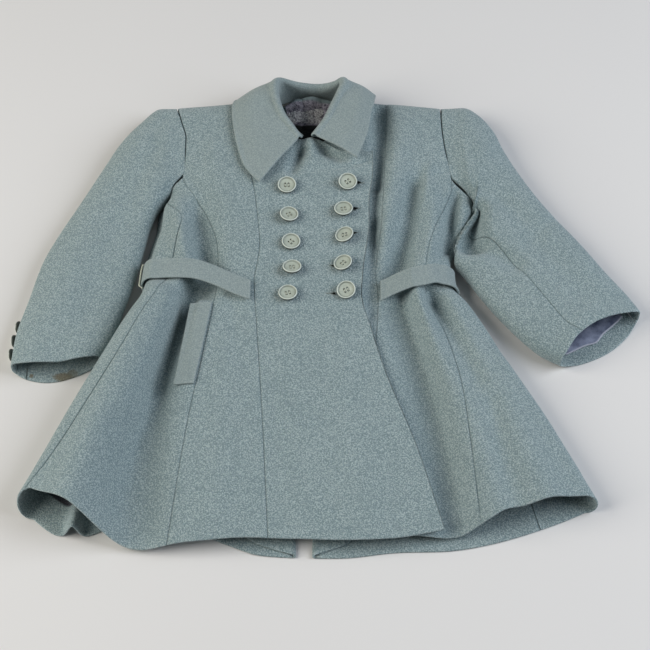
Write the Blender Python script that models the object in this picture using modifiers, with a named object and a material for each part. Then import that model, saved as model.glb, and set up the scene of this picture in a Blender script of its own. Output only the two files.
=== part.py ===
"""A child's double-breasted coat of wool crepe, laid on its back on a table.

The coat lies with its collar towards +Y and its hem towards -Y. Each cut piece of cloth is one wall,
laid on a surface that is worked out from short tables: rings across the body and the sleeves, and a row
for each large fold. Sizes in the tables are millimetres; the scene is in metres. The wearer's right
side is at -X.
"""

import math
from collections import namedtuple

import bmesh
import bpy
import numpy as np
from mathutils import Matrix, Vector

MM = 0.001
CLOTH = 2.0  # wool crepe with its interlining
COLLAR_CLOTH = 2.4  # top and under collar as one wall
BELT_CLOTH = 2.2
LINING_CLOTH = 1.0
LABEL_CLOTH = 0.6
SEAM = 0.6  # gap between two pieces at a seam
CLEAR = 0.9  # gap under a piece that lies on another
CENTRE_X = -7.0  # centre front, halfway between the button rows
MIDDLE = (2.3, 19.1)  # the middle of the whole coat, from above
SHOULDER_Y = 262.0
SHOULDER_Z = 13.4
HEM_Y = -256.0
UNDERLAP_DROP = 4.0  # the left front lies this far under the right one
TURN_STEP = 24.0  # mm to one step of the place past a turned edge
BELT_WIDTH = 24.0
BUTTON_ACROSS = 20.0
BUTTON_THICK = 3.8
CUFF_BUTTON_ACROSS = 12.5

CREPE = ("crepe", (0.30, 0.39, 0.41, 1.0), 0.92)
LINING = ("lining", (0.26, 0.31, 0.40, 1.0), 0.6)
LABEL = ("label", (0.34, 0.34, 0.38, 1.0), 0.7)
BUTTON = ("button", (0.48, 0.58, 0.53, 1.0), 0.35)
THREAD = ("thread", (0.62, 0.64, 0.55, 1.0), 0.8)

# The rings across the body: where the cloth turns under at each side, how high it stands there, and how
# high the front lies between. Above the underarm the sides are open, and a ring is only the front's shape.
BodyRing = namedtuple("BodyRing", "y left_x right_x left_edge right_edge crown")
BODY_RINGS = [
    BodyRing(262, -172, 142, 26, 26, 31),
    BodyRing(200, -168, 142, 26, 26, 34),
    BodyRing(165, -162, 147, 23, 24, 34),
    BodyRing(150, -160, 153, 22, 22, 34),
    BodyRing(132, -166, 151, 20, 21, 33),
    BodyRing(112, -167, 143, 22, 21, 31),
    BodyRing(92, -172, 136, 22, 21, 30),
    BodyRing(72, -176, 128, 23, 22, 29),
    BodyRing(52, -179, 127, 23, 23, 28),
    BodyRing(32, -181, 130, 24, 24, 27),
    BodyRing(12, -186, 145, 26, 25, 26),
    BodyRing(0, -193, 152, 27, 25, 25),
    BodyRing(-60, -219, 179, 30, 26, 23),
    BodyRing(-130, -246, 211, 32, 27, 21),
    BodyRing(-200, -270, 237, 34, 28, 20),
    BodyRing(-256, -289, 257, 35, 28, 19),
]
# The heights of the rows of cells, from the hem to the shoulders. Every piece of the body keeps to them.
ROWS = [
    -256, -220, -184, -148, -112, -76, -42, -12, 12, 32, 52, 72, 92, 112, 132, 150, 165, 186, 210, 236, 262,
]

# The seams and edges that bound the front pieces.
SeamRow = namedtuple("SeamRow", "y x")
RIGHT_FRONT_SEAM = [
    SeamRow(262, -84), SeamRow(180, -78), SeamRow(132, -71), SeamRow(76, -66), SeamRow(34, -71),
    SeamRow(-10, -68), SeamRow(-96, -62), SeamRow(-256, -53),
]
RIGHT_PRINCESS_SEAM = [
    SeamRow(262, -157), SeamRow(237, -151), SeamRow(212, -145), SeamRow(188, -145), SeamRow(165, -147),
    SeamRow(144, -136), SeamRow(120, -122), SeamRow(90, -111), SeamRow(60, -108), SeamRow(20, -110),
    SeamRow(-38, -118), SeamRow(-119, -131), SeamRow(-256, -147),
]
OVERLAP_EDGE = [
    SeamRow(262, 50), SeamRow(204, 50), SeamRow(151, 46), SeamRow(99, 45), SeamRow(51, 39),
    SeamRow(20, 37), SeamRow(-21, 46), SeamRow(-67, 58), SeamRow(-150, 85), SeamRow(-256, 112),
]
UNDERLAP_EDGE = [
    SeamRow(262, -62), SeamRow(100, -58), SeamRow(20, -51), SeamRow(-67, -72), SeamRow(-256, -126),
]
LEFT_FRONT_SEAM = [
    SeamRow(262, 66), SeamRow(180, 62), SeamRow(100, 57), SeamRow(48, 51), SeamRow(20, 53),
    SeamRow(-40, 50), SeamRow(-256, 39),
]
LEFT_PRINCESS_SEAM = [
    SeamRow(262, 122), SeamRow(223, 123), SeamRow(196, 126), SeamRow(175, 130), SeamRow(155, 131),
    SeamRow(133, 124), SeamRow(103, 112), SeamRow(60, 102), SeamRow(26, 101), SeamRow(-18, 117),
    SeamRow(-74, 129), SeamRow(-162, 138), SeamRow(-256, 145),
]
# The armholes, from the shoulder to the underarm.
RIGHT_ARMHOLE = [
    SeamRow(262, -157), SeamRow(237, -151), SeamRow(212, -145), SeamRow(188, -145), SeamRow(168, -148),
    SeamRow(151, -160),
]
LEFT_ARMHOLE = [
    SeamRow(262, 122), SeamRow(223, 123), SeamRow(196, 126), SeamRow(175, 130), SeamRow(160, 136),
    SeamRow(147, 150),
]

# The side seams, as steps round the turned edge: 0 is where it starts on the front, 1 where it ends
# underneath, and past those a step is TURN_STEP.
SideRow = namedtuple("SideRow", "y turned")
RIGHT_SIDE = [
    SideRow(150, 0.5), SideRow(132, 0.1), SideRow(112, -0.5), SideRow(92, -0.6), SideRow(52, -0.62),
    SideRow(12, -0.32), SideRow(-60, -0.35), SideRow(-160, -0.2), SideRow(-256, 0.1),
]
LEFT_SIDE = [SideRow(150, 1.2), SideRow(92, 1.2), SideRow(32, 1.4), SideRow(-60, 1.8), SideRow(-256, 2.8)]
# The top of the left side front, under the arm: the ring height against the share of the way across.
TopRow = namedtuple("TopRow", "share y")
LEFT_SIDE_TOP = [
    TopRow(0, 165), TopRow(0.1, 161.5), TopRow(0.2, 157.7), TopRow(0.3, 154), TopRow(0.4, 150.2),
    TopRow(0.5, 145), TopRow(0.65, 143), TopRow(0.8, 145), TopRow(1, 150),
]

# How far each hem stands back from the line y = HEM_Y, across the body: -1 and 1 are the turned edges.
HemRow = namedtuple("HemRow", "across back_by")
UPPER_HEM = [
    HemRow(-1.0, 52), HemRow(-0.91, 38), HemRow(-0.83, 26), HemRow(-0.75, 13), HemRow(-0.67, 2),
    HemRow(-0.58, -4), HemRow(-0.4, -1), HemRow(-0.22, 3), HemRow(0.1, 0), HemRow(0.3, 3), HemRow(0.45, 11),
]
LOWER_HEM = [
    HemRow(-0.45, 6), HemRow(0.3, 7), HemRow(0.5, 9), HemRow(0.56, 14), HemRow(0.62, 20), HemRow(0.68, 28),
    HemRow(0.75, 31), HemRow(0.86, 38), HemRow(1.0, 45),
]
BACK_HEM = [
    HemRow(-1.0, 52), HemRow(-0.96, 36), HemRow(-0.91, 22), HemRow(-0.86, 14), HemRow(-0.78, 13),
    HemRow(-0.66, 24), HemRow(-0.4, 16), HemRow(-0.28, 2), HemRow(-0.19, -7), HemRow(0.07, -10),
    HemRow(0.28, -4), HemRow(0.48, -2), HemRow(0.6, 4), HemRow(0.79, 20), HemRow(0.9, 32), HemRow(1.0, 45),
]

# How far the shoulder line stands over y = SHOULDER_Y, across the body.
ShoulderRow = namedtuple("ShoulderRow", "x over")
SHOULDER_LINE = [
    ShoulderRow(-160, 7), ShoulderRow(-120, 10), ShoulderRow(-84, 14), ShoulderRow(-64, 16),
    ShoulderRow(46, 16), ShoulderRow(66, 14), ShoulderRow(95, 11), ShoulderRow(124, 8),
]
# Necklines, against x: the front that laps over, the front under it, and the back with its shoulders.
NeckRow = namedtuple("NeckRow", "x y")
UPPER_NECK = [
    NeckRow(-84, 276), NeckRow(-70, 274), NeckRow(-61, 258), NeckRow(-42, 228), NeckRow(-24, 213),
    NeckRow(-9, 213), NeckRow(2, 208), NeckRow(16, 199), NeckRow(34, 196), NeckRow(50, 198),
]
LOWER_NECK = [
    NeckRow(-62, 200), NeckRow(-30, 204), NeckRow(-9, 208), NeckRow(6, 221), NeckRow(20, 238),
    NeckRow(32, 252), NeckRow(42, 266), NeckRow(50, 275), NeckRow(66, 276),
]
BACK_NECK = [
    NeckRow(-160, 269), NeckRow(-120, 272), NeckRow(-84, 276), NeckRow(-66, 277), NeckRow(-54, 279),
    NeckRow(-40, 284), NeckRow(-20, 288), NeckRow(-7, 289), NeckRow(6, 288), NeckRow(24, 284),
    NeckRow(38, 279), NeckRow(50, 277), NeckRow(66, 276), NeckRow(95, 273), NeckRow(124, 270),
]

# The large folds: a soft ridge or, with a rise under 0, a soft trough, from one end to the other.
Fold = namedtuple("Fold", "name x0 y0 x1 y1 bow width0 width1 rise0 rise1")
UPPER_FOLDS = [
    Fold("skirt side ridge", -168, 15, -248, -270, 4, 20, 34, 15, 28),
    Fold("skirt side trough", -140, 12, -178, -275, 10, 9, 30, -13, -16),
    Fold("bodice side ridge", -152, 132, -141, 40, -6, 11, 15, 6, 9),
    Fold("bodice side trough", -124, 112, -122, 36, -5, 10, 13, -8, -14),
    Fold("pocket hollow", -120, 30, -114, -10, 0, 14, 14, -5, 0),
    Fold("breast fullness", -105, 190, -88, 90, 0, 24, 26, 2, 3),
]
LOWER_FOLDS = [
    Fold("shadow by the overlap", 57, 262, 53, 160, -3, 10, 8, -12, -8),
    Fold("hollow at the waist edge", 47, 110, 46, 0, 0, 8, 8, -6, -5),
    Fold("breast ridge", 74, 200, 62, 95, 0, 13, 13, 3, 6),
    Fold("bodice trough", 92, 158, 70, 42, -6, 8, 13, -6, -14),
    Fold("bodice ridge", 110, 150, 96, 40, -6, 10, 13, 3, 8),
    Fold("side trough", 126, 138, 124, 78, 0, 8, 10, -6, -9),
    Fold("skirt first trough", 72, 6, 121, -272, -8, 15, 22, -11, -9),
    Fold("skirt ridge", 92, 20, 172, -262, -5, 11, 26, 8, 15),
    Fold("skirt second trough", 108, 14, 158, -118, 5, 9, 16, -9, 0),
    Fold("skirt side ridge", 124, 8, 226, -268, 0, 15, 34, 6, 15),
]
BACK_FOLDS = [Fold("standing fold at the hem", -236, -262, -214, -120, 0, 8, 10, 21, 0)]

# The inverted pleat down the centre back: the middle of the cloth at the hem, from the wearer's right.
PleatRow = namedtuple("PleatRow", "x z")
PLEAT = [
    PleatRow(-94, 1.0), PleatRow(-60, 1.0), PleatRow(-29.2, 1.0), PleatRow(-28, 2.2), PleatRow(-29.2, 3.4),
    PleatRow(-54, 3.4), PleatRow(-77.8, 3.4), PleatRow(-79, 4.6), PleatRow(-77.8, 5.8), PleatRow(-45, 5.8),
    PleatRow(-10, 5.8), PleatRow(21.8, 5.8), PleatRow(23, 4.6), PleatRow(21.8, 3.4), PleatRow(4, 3.4),
    PleatRow(-9.8, 3.4), PleatRow(-11, 2.2), PleatRow(-9.8, 1.0), PleatRow(26, 1.0), PleatRow(62, 1.0),
]
# How far the hem of the pleat's underlay is set back from the hem in front of it, in step with the rows.
PLEAT_SET_BACK = [0, 0, 0, 0, 2, 8, 15, 17, 18, 18, 18, 17, 16, 14, 7, 2, 0, 0, 0, 0]
PLEAT_TOP_Y = 20.0

# The rings of the sleeves, from the armhole to the cuff: the outer and inner edge of the flattened tube,
# its height, and how far round it the seam lies: 0 at the outer edge, 0.5 at the inner one.
SleeveRow = namedtuple("SleeveRow", "outer_x outer_y inner_x inner_y crown seam")
RIGHT_SLEEVE = [
    SleeveRow(-158, 268, -161, 152, 30, 0.56),
    SleeveRow(-176, 266, -166, 144, 33, 0.56),
    SleeveRow(-196, 245, -173, 130, 33, 0.56),
    SleeveRow(-215, 219, -179, 112, 30, 0.56),
    SleeveRow(-233, 183, -183, 91, 27, 0.56),
    SleeveRow(-254, 138, -188, 63, 26, 0.56),
    SleeveRow(-272, 100, -194, 36, 26, 0.56),
    SleeveRow(-286, 64, -201, 9, 26, 0.56),
    SleeveRow(-296, 19, -207, -20, 27, 0.56),
    SleeveRow(-305, -21, -213, -38, 28, 0.56),
    SleeveRow(-308, -60, -221, -50, 28, 0.56),
]
LEFT_SLEEVE = [
    SleeveRow(124, 270, 150, 147, 30, 0.49),
    SleeveRow(146, 269, 155, 141, 32, 0.465),
    SleeveRow(163, 257, 156, 130, 33, 0.435),
    SleeveRow(178, 235, 149, 112, 32, 0.405),
    SleeveRow(187, 211, 140, 92, 31, 0.36),
    SleeveRow(201, 181, 133, 69, 30, 0.315),
    SleeveRow(220, 146, 143, 47, 30, 0.29),
    SleeveRow(239, 117, 158, 22, 30, 0.286),
    SleeveRow(261, 86, 174, -1, 30, 0.289),
    SleeveRow(284, 50, 194, -26, 30, 0.295),
    SleeveRow(302, 24, 212, -44, 30, 0.302),
    SleeveRow(314, 3, 231, -55, 31, 0.302),
]
# How far past the line between its edges each cuff reaches, on top and underneath.
CuffShape = namedtuple("CuffShape", "top under")
RIGHT_CUFF = CuffShape(6, 15)
LEFT_CUFF = CuffShape(-11, 12)

# The collar from its right front end round the neck to its left one: neck seam, roll and outer edge.
CollarRow = namedtuple("CollarRow", "seam roll edge")
COLLAR = [
    CollarRow((-23, 216, 34), (-25, 210, 43), (-67, 151, 38)),
    CollarRow((-33, 225, 33), (-34, 225, 44), (-83, 172, 37)),
    CollarRow((-45, 239, 31), (-43, 240, 45), (-91, 198, 36)),
    CollarRow((-54, 253, 27), (-49, 258, 46), (-96, 227, 35)),
    CollarRow((-58, 267, 20), (-51, 274, 48), (-98, 254, 32)),
    CollarRow((-53, 277, 12), (-50, 282, 47), (-92, 276, 20)),
    CollarRow((-40, 286, 8), (-42, 287, 42), (-68, 293, 8)),
    CollarRow((-24, 291, 6), (-26, 287, 33), (-36, 300, 4)),
    CollarRow((-7, 292, 6), (-8, 287, 29), (-8, 302, 4)),
    CollarRow((9, 291, 6), (6, 286, 35), (18, 300, 4)),
    CollarRow((24, 286, 8), (15, 286, 44), (42, 292, 10)),
    CollarRow((34, 276, 14), (18, 280, 48), (53, 277, 26)),
    CollarRow((33, 262, 22), (14, 268, 48), (52, 262, 37)),
    CollarRow((22, 246, 29), (8, 252, 48), (48, 241, 41)),
    CollarRow((8, 229, 32), (-1, 230, 47), (44, 213, 42)),
    CollarRow((-5, 216, 34), (-13, 211, 45), (33, 180, 42)),
]

# The middle lines of the two half belts on the front.
RIGHT_BELT = [
    SeamRow(21, -72), SeamRow(28, -90), SeamRow(38, -111), SeamRow(44, -130), SeamRow(45, -146),
    SeamRow(46, -161), SeamRow(46, -178),
]
LEFT_BELT = [SeamRow(25, 54), SeamRow(31, 70), SeamRow(35, 85), SeamRow(38, 100), SeamRow(42, 112)]

ButtonPlace = namedtuple("ButtonPlace", "x y")
FRONT_BUTTONS = [
    ButtonPlace(-38, 151), ButtonPlace(-38, 113), ButtonPlace(-35, 79), ButtonPlace(-34, 49),
    ButtonPlace(-36, 18), ButtonPlace(24, 153), ButtonPlace(19, 119), ButtonPlace(19, 86),
    ButtonPlace(18, 53), ButtonPlace(21, 21),
]
CUFF_BUTTON_PLACES = [8.68, 9.1, 9.52]  # rings along the right sleeve


def clamp(value, low=0.0, high=1.0):
    return max(low, min(high, value))


def smoothstep(value):
    t = clamp(value)
    return t * t * (3.0 - 2.0 * t)


def mix(a, b, share):
    return a + (b - a) * share


class Line:
    """A smooth curve through (key, value) pairs, held at its ends."""

    def __init__(self, pairs):
        pairs = sorted(pairs, key=lambda pair: pair[0])
        self.keys = np.array([pair[0] for pair in pairs], float)
        self.values = np.array([pair[1] for pair in pairs], float)
        rises = np.diff(self.values) / np.diff(self.keys)
        slopes = np.gradient(self.values, self.keys)
        # A slope is held down where the curve would swing past its own points.
        least = np.minimum(abs(np.append(rises, rises[-1])), abs(np.insert(rises, 0, rises[0])))
        turns = np.append(rises, rises[-1]) * np.insert(rises, 0, rises[0]) <= 0.0
        self.slopes = np.where(turns, 0.0, np.sign(slopes) * np.minimum(abs(slopes), 3.0 * least))

    def __call__(self, key):
        key = clamp(key, self.keys[0], self.keys[-1])
        i = int(np.clip(np.searchsorted(self.keys, key) - 1, 0, len(self.keys) - 2))
        span = self.keys[i + 1] - self.keys[i]
        t = (key - self.keys[i]) / span
        value = self.values[i] * (1 + 2 * t) * (1 - t) ** 2 + self.values[i + 1] * t * t * (3 - 2 * t)
        return value + span * (self.slopes[i] * t * (1 - t) ** 2 + self.slopes[i + 1] * t * t * (t - 1))


def seam_line(rows):
    return Line([(row.y, row.x) for row in rows])


def neck_line(rows):
    return Line([(row.x, row.y) for row in rows])


RING = {name: Line([(row.y, getattr(row, name)) for row in BODY_RINGS]) for name in BodyRing._fields[1:]}
RIGHT_FRONT = seam_line(RIGHT_FRONT_SEAM)
RIGHT_PRINCESS = seam_line(RIGHT_PRINCESS_SEAM)
OVERLAP = seam_line(OVERLAP_EDGE)
UNDERLAP = seam_line(UNDERLAP_EDGE)
LEFT_FRONT = seam_line(LEFT_FRONT_SEAM)
LEFT_PRINCESS = seam_line(LEFT_PRINCESS_SEAM)
SIDE_TOP = Line(LEFT_SIDE_TOP)
ARMHOLE_GAPS = {"left": 1.3, "right": 0.8}
SHOULDER = Line(SHOULDER_LINE)


def raised(ring_y, top_y):
    """How far up a ring's point goes so that its column ends at top_y."""
    return clamp((ring_y - 92.0) / (SHOULDER_Y - 92.0)) ** 1.5 * (top_y - SHOULDER_Y)


def armhole_line(rows):
    """An armhole as it lies, with the shoulder's rise."""
    return Line([(row.y + raised(row.y, SHOULDER_Y + SHOULDER(row.x)), row.x) for row in rows])


ARMHOLES = {"left": seam_line(RIGHT_ARMHOLE), "right": seam_line(LEFT_ARMHOLE)}
LAID_ARMHOLES = {"left": armhole_line(RIGHT_ARMHOLE), "right": armhole_line(LEFT_ARMHOLE)}
SIDES = {
    "left": Line([(row.y, row.turned) for row in RIGHT_SIDE]),
    "right": Line([(row.y, row.turned) for row in LEFT_SIDE]),
}
HEMS = {
    "upper": Line([(row.across, row.back_by) for row in UPPER_HEM]),
    "lower": Line([(row.across, row.back_by) for row in LOWER_HEM]),
    "back": Line([(row.across, row.back_by) for row in BACK_HEM]),
}
NECKS = {"upper": neck_line(UPPER_NECK), "lower": neck_line(LOWER_NECK), "back": neck_line(BACK_NECK)}


def across_body(x, ring_y):
    """Where x lies across a ring: -1 and 1 at its turned edges."""
    side = RING["left_x"](ring_y) if x < CENTRE_X else RING["right_x"](ring_y)
    return clamp((x - CENTRE_X) / abs(side - CENTRE_X), -1.0, 1.0)


def folded(folds, x, y):
    """The sum of a table's folds at one place."""
    total = 0.0
    for fold in folds:
        run_x, run_y = fold.x1 - fold.x0, fold.y1 - fold.y0
        length = math.hypot(run_x, run_y)
        t = ((x - fold.x0) * run_x + (y - fold.y0) * run_y) / length**2
        inside = clamp(t)
        across = ((x - fold.x0) * run_y - (y - fold.y0) * run_x) / length
        across -= fold.bow * 4.0 * inside * (1.0 - inside)
        past = (t - inside) * length
        width = mix(fold.width0, fold.width1, inside)
        total += mix(fold.rise0, fold.rise1, inside) * math.exp(-(across**2 + past**2) / width**2)
    return total


def quarter_turn(share):
    """0 to 1 along the side of a rounded shoulder, upright where it starts."""
    t = min(abs(share), 1.0)
    return math.copysign(math.sqrt(t * (2.0 - t)), share)


def front_height(x, y, layer):
    """The height of the front's outer side at one place."""
    across = across_body(x, y)
    edge = RING["left_edge" if across < 0 else "right_edge"](y)
    base = mix(RING["crown"](y), edge, abs(across) ** 5)
    height = base + folded(UPPER_FOLDS, x, y)
    if layer == "lower":
        lower = base - UNDERLAP_DROP + folded(LOWER_FOLDS, x, y)
        hidden = min(lower, height - UNDERLAP_DROP)
        height = mix(hidden, lower, smoothstep((x - OVERLAP(y) - 1.0) / 8.0))
    # The deepest troughs come to rest on the back.
    over = height - back_height(x, y) - 2.0 * CLOTH - 2.0
    height += 0.5 * (math.sqrt(over * over + 9.0) - over)
    to_shoulder = (SHOULDER_Y + SHOULDER(x) - y) / 26.0
    if to_shoulder < 1.0:
        height = mix(SHOULDER_Z, height, quarter_turn(to_shoulder))
    return height


def back_height(x, y):
    """How far the back's outer side stands off the table: over the belt ends, and up to the shoulders."""
    out = abs(x - CENTRE_X)
    height = 3.2 * smoothstep((36.0 - abs(y - 46.0)) / 20.0) * smoothstep((out - 68.0) / 25.0)
    height += 4.0 * smoothstep((y - 262.0) / 26.0)
    raised = folded(BACK_FOLDS, x, y)
    if raised > 0.05:
        height += raised
    return height


def edge_start(ring_y, side):
    """Where a turned edge starts, and how far out of there it reaches."""
    reach = 0.42 * RING[side + "_edge"](ring_y)
    silhouette = RING[side + "_x"](ring_y)
    return (silhouette + reach, reach) if side == "left" else (silhouette - reach, reach)


def turned_place(x, ring_y, side):
    """The place round the turned edge of a point on the front, given its x."""
    start = edge_start(ring_y, side)[0]
    return ((start - x) if side == "left" else (x - start)) / TURN_STEP


def hem_shift(layer, x, ring_y):
    share = clamp(ring_y / HEM_Y) ** 1.4
    return share * HEMS[layer](across_body(x, ring_y))


def edge_curve(t, start, reach, top, low, slope):
    """(x, height) round a turned edge: it leaves the front on the front's own slope."""
    pull = reach / 0.75
    a, b = (1 - t) ** 3, 3 * t * (1 - t) ** 2
    c, d = 3 * t**2 * (1 - t), t**3
    height = a * top + b * (top + clamp(slope * abs(pull), -4.0, 8.0)) + (c + d) * low
    return start + (b + c) * pull, height


def body_point(turned, ring_y, side, layer, depth=0.0):
    """A point of the body, at depth under its outer side, from its place round a turned edge."""
    start, reach = edge_start(ring_y, side)
    out = -1.0 if side == "left" else 1.0
    rise = raised(ring_y, SHOULDER_Y + SHOULDER(-157.0 if side == "left" else 122.0))
    if turned <= 0.0:
        x = start + out * TURN_STEP * turned
        y = ring_y + hem_shift(layer, x, ring_y) + rise
        return [x, y, front_height(x, y, layer) - depth]
    if turned >= 1.0:
        x = start - out * TURN_STEP * (turned - 1.0)
        y = ring_y + hem_shift("back", x, ring_y) + rise
        return [x, y, back_height(x, y) + depth]
    front_y = ring_y + hem_shift(layer, start, ring_y) + rise
    back_y = ring_y + hem_shift("back", start, ring_y) + rise
    top = front_height(start, front_y, layer)
    slope = top - front_height(start - out, front_y, layer)
    low = back_height(start, back_y)
    x, z = edge_curve(turned, start, out * (reach - depth), top - depth, low + depth, slope)
    return [x, mix(front_y, back_y, smoothstep(turned)), z]


def row_height(v, rows):
    """The ring height at share v of the way up the rows."""
    place = v * (len(rows) - 1)
    i = int(clamp(math.floor(place), 0, len(rows) - 2))
    return mix(rows[i], rows[i + 1], place - i)


def pleat_point(share, ring_y):
    """(x, height) of the middle of the cloth, at a share of the way across the pleat."""
    opened = smoothstep(clamp((PLEAT_TOP_Y - ring_y) / (PLEAT_TOP_Y - HEM_Y)) * 1.0) ** 0.6
    place = share * (len(PLEAT) - 1)
    i = int(clamp(math.floor(place), 0, len(PLEAT) - 2))
    x = mix(PLEAT[i].x, PLEAT[i + 1].x, place - i)
    z = mix(PLEAT[i].z, PLEAT[i + 1].z, place - i)
    flat_x = mix(PLEAT[0].x, PLEAT[-1].x, share)
    return mix(flat_x, x, opened), mix(1.0, z, smoothstep(opened / 0.3))


def material(finish):
    name, colour, roughness = finish
    made = bpy.data.materials.get(name) or bpy.data.materials.new(name)
    made.use_nodes = True
    shader = made.node_tree.nodes["Principled BSDF"]
    shader.inputs["Base Color"].default_value = colour
    shader.inputs["Roughness"].default_value = roughness
    shader.inputs["Metallic"].default_value = 0.0
    return made


def add_part(name, mesh, finish):
    """One piece of the coat, under its frame."""
    mesh.materials.clear()
    mesh.materials.append(material(finish))
    mesh.shade_smooth()
    mesh.set_sharp_from_angle(angle=math.radians(50))
    made = bpy.data.objects.new(name, mesh)
    COAT.objects.link(made)
    made.parent = ROOT
    return made


def face_outward(body):
    bmesh.ops.recalc_face_normals(body, faces=body.faces[:])
    if body.calc_volume(signed=True) < 0.0:
        bmesh.ops.reverse_faces(body, faces=body.faces[:])


def cloth(name, columns, rows, place, thick=CLOTH, finish=CREPE, outer=0.0, way=1.0):
    """A cut piece: a flat slab of columns by rows cells, whose points are carried to where the cloth lies.

    place(u, v) gives a point of the cloth's surface for u and v from 0 to 1, and is also asked just
    outside them. outer is how far out of that surface the piece's outer side stands, and way is -1 where
    u and v run so that their cross product points into the coat.
    """
    piece = bmesh.new()
    bmesh.ops.create_grid(piece, x_segments=columns, y_segments=rows, size=0.5)
    extruded = bmesh.ops.extrude_face_region(piece, geom=piece.faces[:])["geom"]
    inner = {part for part in extruded if isinstance(part, bmesh.types.BMVert)}
    step = 1e-3
    for vertex in piece.verts:
        u, v = round(vertex.co.x + 0.5, 6), round(vertex.co.y + 0.5, 6)
        here = np.array(place(u, v), float)
        along_u = np.array(place(u + step, v)) - np.array(place(u - step, v))
        along_v = np.array(place(u, v + step)) - np.array(place(u, v - step))
        normal = np.cross(along_u, along_v) * way
        normal /= np.linalg.norm(normal)
        vertex.co = (here + normal * (outer - thick if vertex in inner else outer)) * MM
    face_outward(piece)
    mesh = bpy.data.meshes.new(name)
    piece.to_mesh(mesh)
    piece.free()
    return add_part(name, mesh, finish)


def front_piece(name, columns, left, right, layer, neck):
    """A front piece from the hem to the shoulder, between two seams."""

    def place(u, v):
        ring_y = row_height(v, ROWS)
        x = mix(left(ring_y) + SEAM / 2, right(ring_y) - SEAM / 2, u)
        top_x = mix(left(SHOULDER_Y), right(SHOULDER_Y), u)
        top_y = NECKS[layer](top_x) if neck else SHOULDER_Y + SHOULDER(top_x)
        y = ring_y + hem_shift(layer, x, ring_y) + raised(ring_y, top_y)
        return [x, y, front_height(x, y, layer)]

    return cloth(name, columns, len(ROWS) - 1, place)


def start_scene():
    for old in list(bpy.data.objects):
        bpy.data.objects.remove(old)
    collection = bpy.data.collections.new("coat")
    bpy.context.scene.collection.children.link(collection)
    return collection


COAT = start_scene()
CUTTERS = bpy.data.collections.new("coat_cutters")
bpy.context.scene.collection.children.link(CUTTERS)
ROOT = bpy.data.objects.new("coat_frame", None)
COAT.objects.link(ROOT)

# The front: the overlap with its button rows, the underlap, and the pieces beside them.
front_piece("front_right_overlap", 10, RIGHT_FRONT, OVERLAP, "upper", True)
front_piece("front_right", 6, RIGHT_PRINCESS, RIGHT_FRONT, "upper", False)
front_piece("front_left_underlap", 7, UNDERLAP, LEFT_FRONT, "lower", True)
front_piece("front_left", 7, LEFT_FRONT, LEFT_PRINCESS, "lower", False)


def side_front_right(u, v):
    """From the side seam near the turned edge to the princess seam; its top is the foot of the armhole."""
    ring_y = row_height(v, ROWS[:16] + [mix(152.0, 165.0, clamp(u))])
    seam = turned_place(RIGHT_PRINCESS(ring_y) - SEAM / 2, ring_y, "left")
    side = SIDES["left"](ring_y) - SEAM / 2 / TURN_STEP - 0.04 * clamp((ring_y - 132.0) / 20.0)
    return body_point(mix(side, seam, u), ring_y, "left", "upper")


def side_front_left(u, v):
    """From the princess seam round the turned edge to the side seam underneath."""
    top_y = SIDE_TOP(u)
    ring_y = row_height(v, ROWS[:15] + [mix(ROWS[14], top_y, 0.545), top_y])
    seam = turned_place(LEFT_PRINCESS(ring_y) + SEAM / 2, ring_y, "right")
    side = SIDES["right"](ring_y)
    if u < 0.4:
        return body_point(seam * (1.0 - u / 0.4), ring_y, "right", "lower")
    return body_point(mix(0.0, side, (u - 0.4) / 0.6), ring_y, "right", "lower")


def back_middle(x, y, z):
    """(y, height) of the middle of the back's cloth: its shoulders turn up to meet the front."""
    z += back_height(x, y)
    turn = 1.0 - quarter_turn((NECKS["back"](x) - y) / 18.0)
    turn *= smoothstep((abs(x + 9.0) - 30.0) / 28.0)
    return y - turn, mix(z, SHOULDER_Z - 1.6, turn)


def back(u, v):
    """From the left side seam, across the pleat underneath, round the right edge to the right side seam."""
    ring_y = row_height(v, ROWS)
    cell = u * BACK_COLUMNS
    if ring_y > 150.5:
        left_armhole = ARMHOLES["right"](ring_y)
        right_armhole = ARMHOLES["left"](ring_y) + 1.6 * smoothstep((186.0 - ring_y) / 20.0)
        seam_x = min(left_armhole, 138.0)
    else:
        start = edge_start(ring_y, "right")[0]
        seam_x = start - TURN_STEP * (SIDES["right"](ring_y) - 1.0)
        end = SIDES["left"](ring_y) + SEAM / TURN_STEP
    if cell <= 3.0:
        x, z = mix(seam_x - SEAM, PLEAT[-1].x, cell / 3.0), 1.0
    elif cell <= 22.0:
        x, z = pleat_point(1.0 - (cell - 3.0) / 19.0, ring_y)
    elif cell <= 24.0:
        inner_x = edge_start(ring_y, "left")[0] + TURN_STEP
        x, z = mix(PLEAT[0].x, inner_x, (cell - 22.0) / 2.0), 1.0
    elif ring_y > 150.5:
        x, z = mix(edge_start(ring_y, "left")[0] + TURN_STEP, right_armhole, (cell - 24.0) / 7.0), 1.0
    else:
        return body_point(mix(2.0, end, (cell - 24.0) / 7.0), ring_y, "left", "upper", 1.0)
    y = ring_y + hem_shift("back", x, ring_y) + raised(ring_y, NECKS["back"](x))
    if 3.0 < cell < 22.0:
        row = min(max(22.0 - cell, 0.0), 18.999)
        set_back = mix(PLEAT_SET_BACK[int(row)], PLEAT_SET_BACK[int(row) + 1], row - int(row))
        y += set_back * min(max(ring_y / HEM_Y, 0.0), 1.0) ** 2
    return [x, *back_middle(x, y, z)]


BACK_COLUMNS = 31
cloth("side_front_right", 5, 16, side_front_right)
cloth("side_front_left", 10, 16, side_front_left)
cloth("back", BACK_COLUMNS, len(ROWS) - 1, back, outer=1.0)


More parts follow.
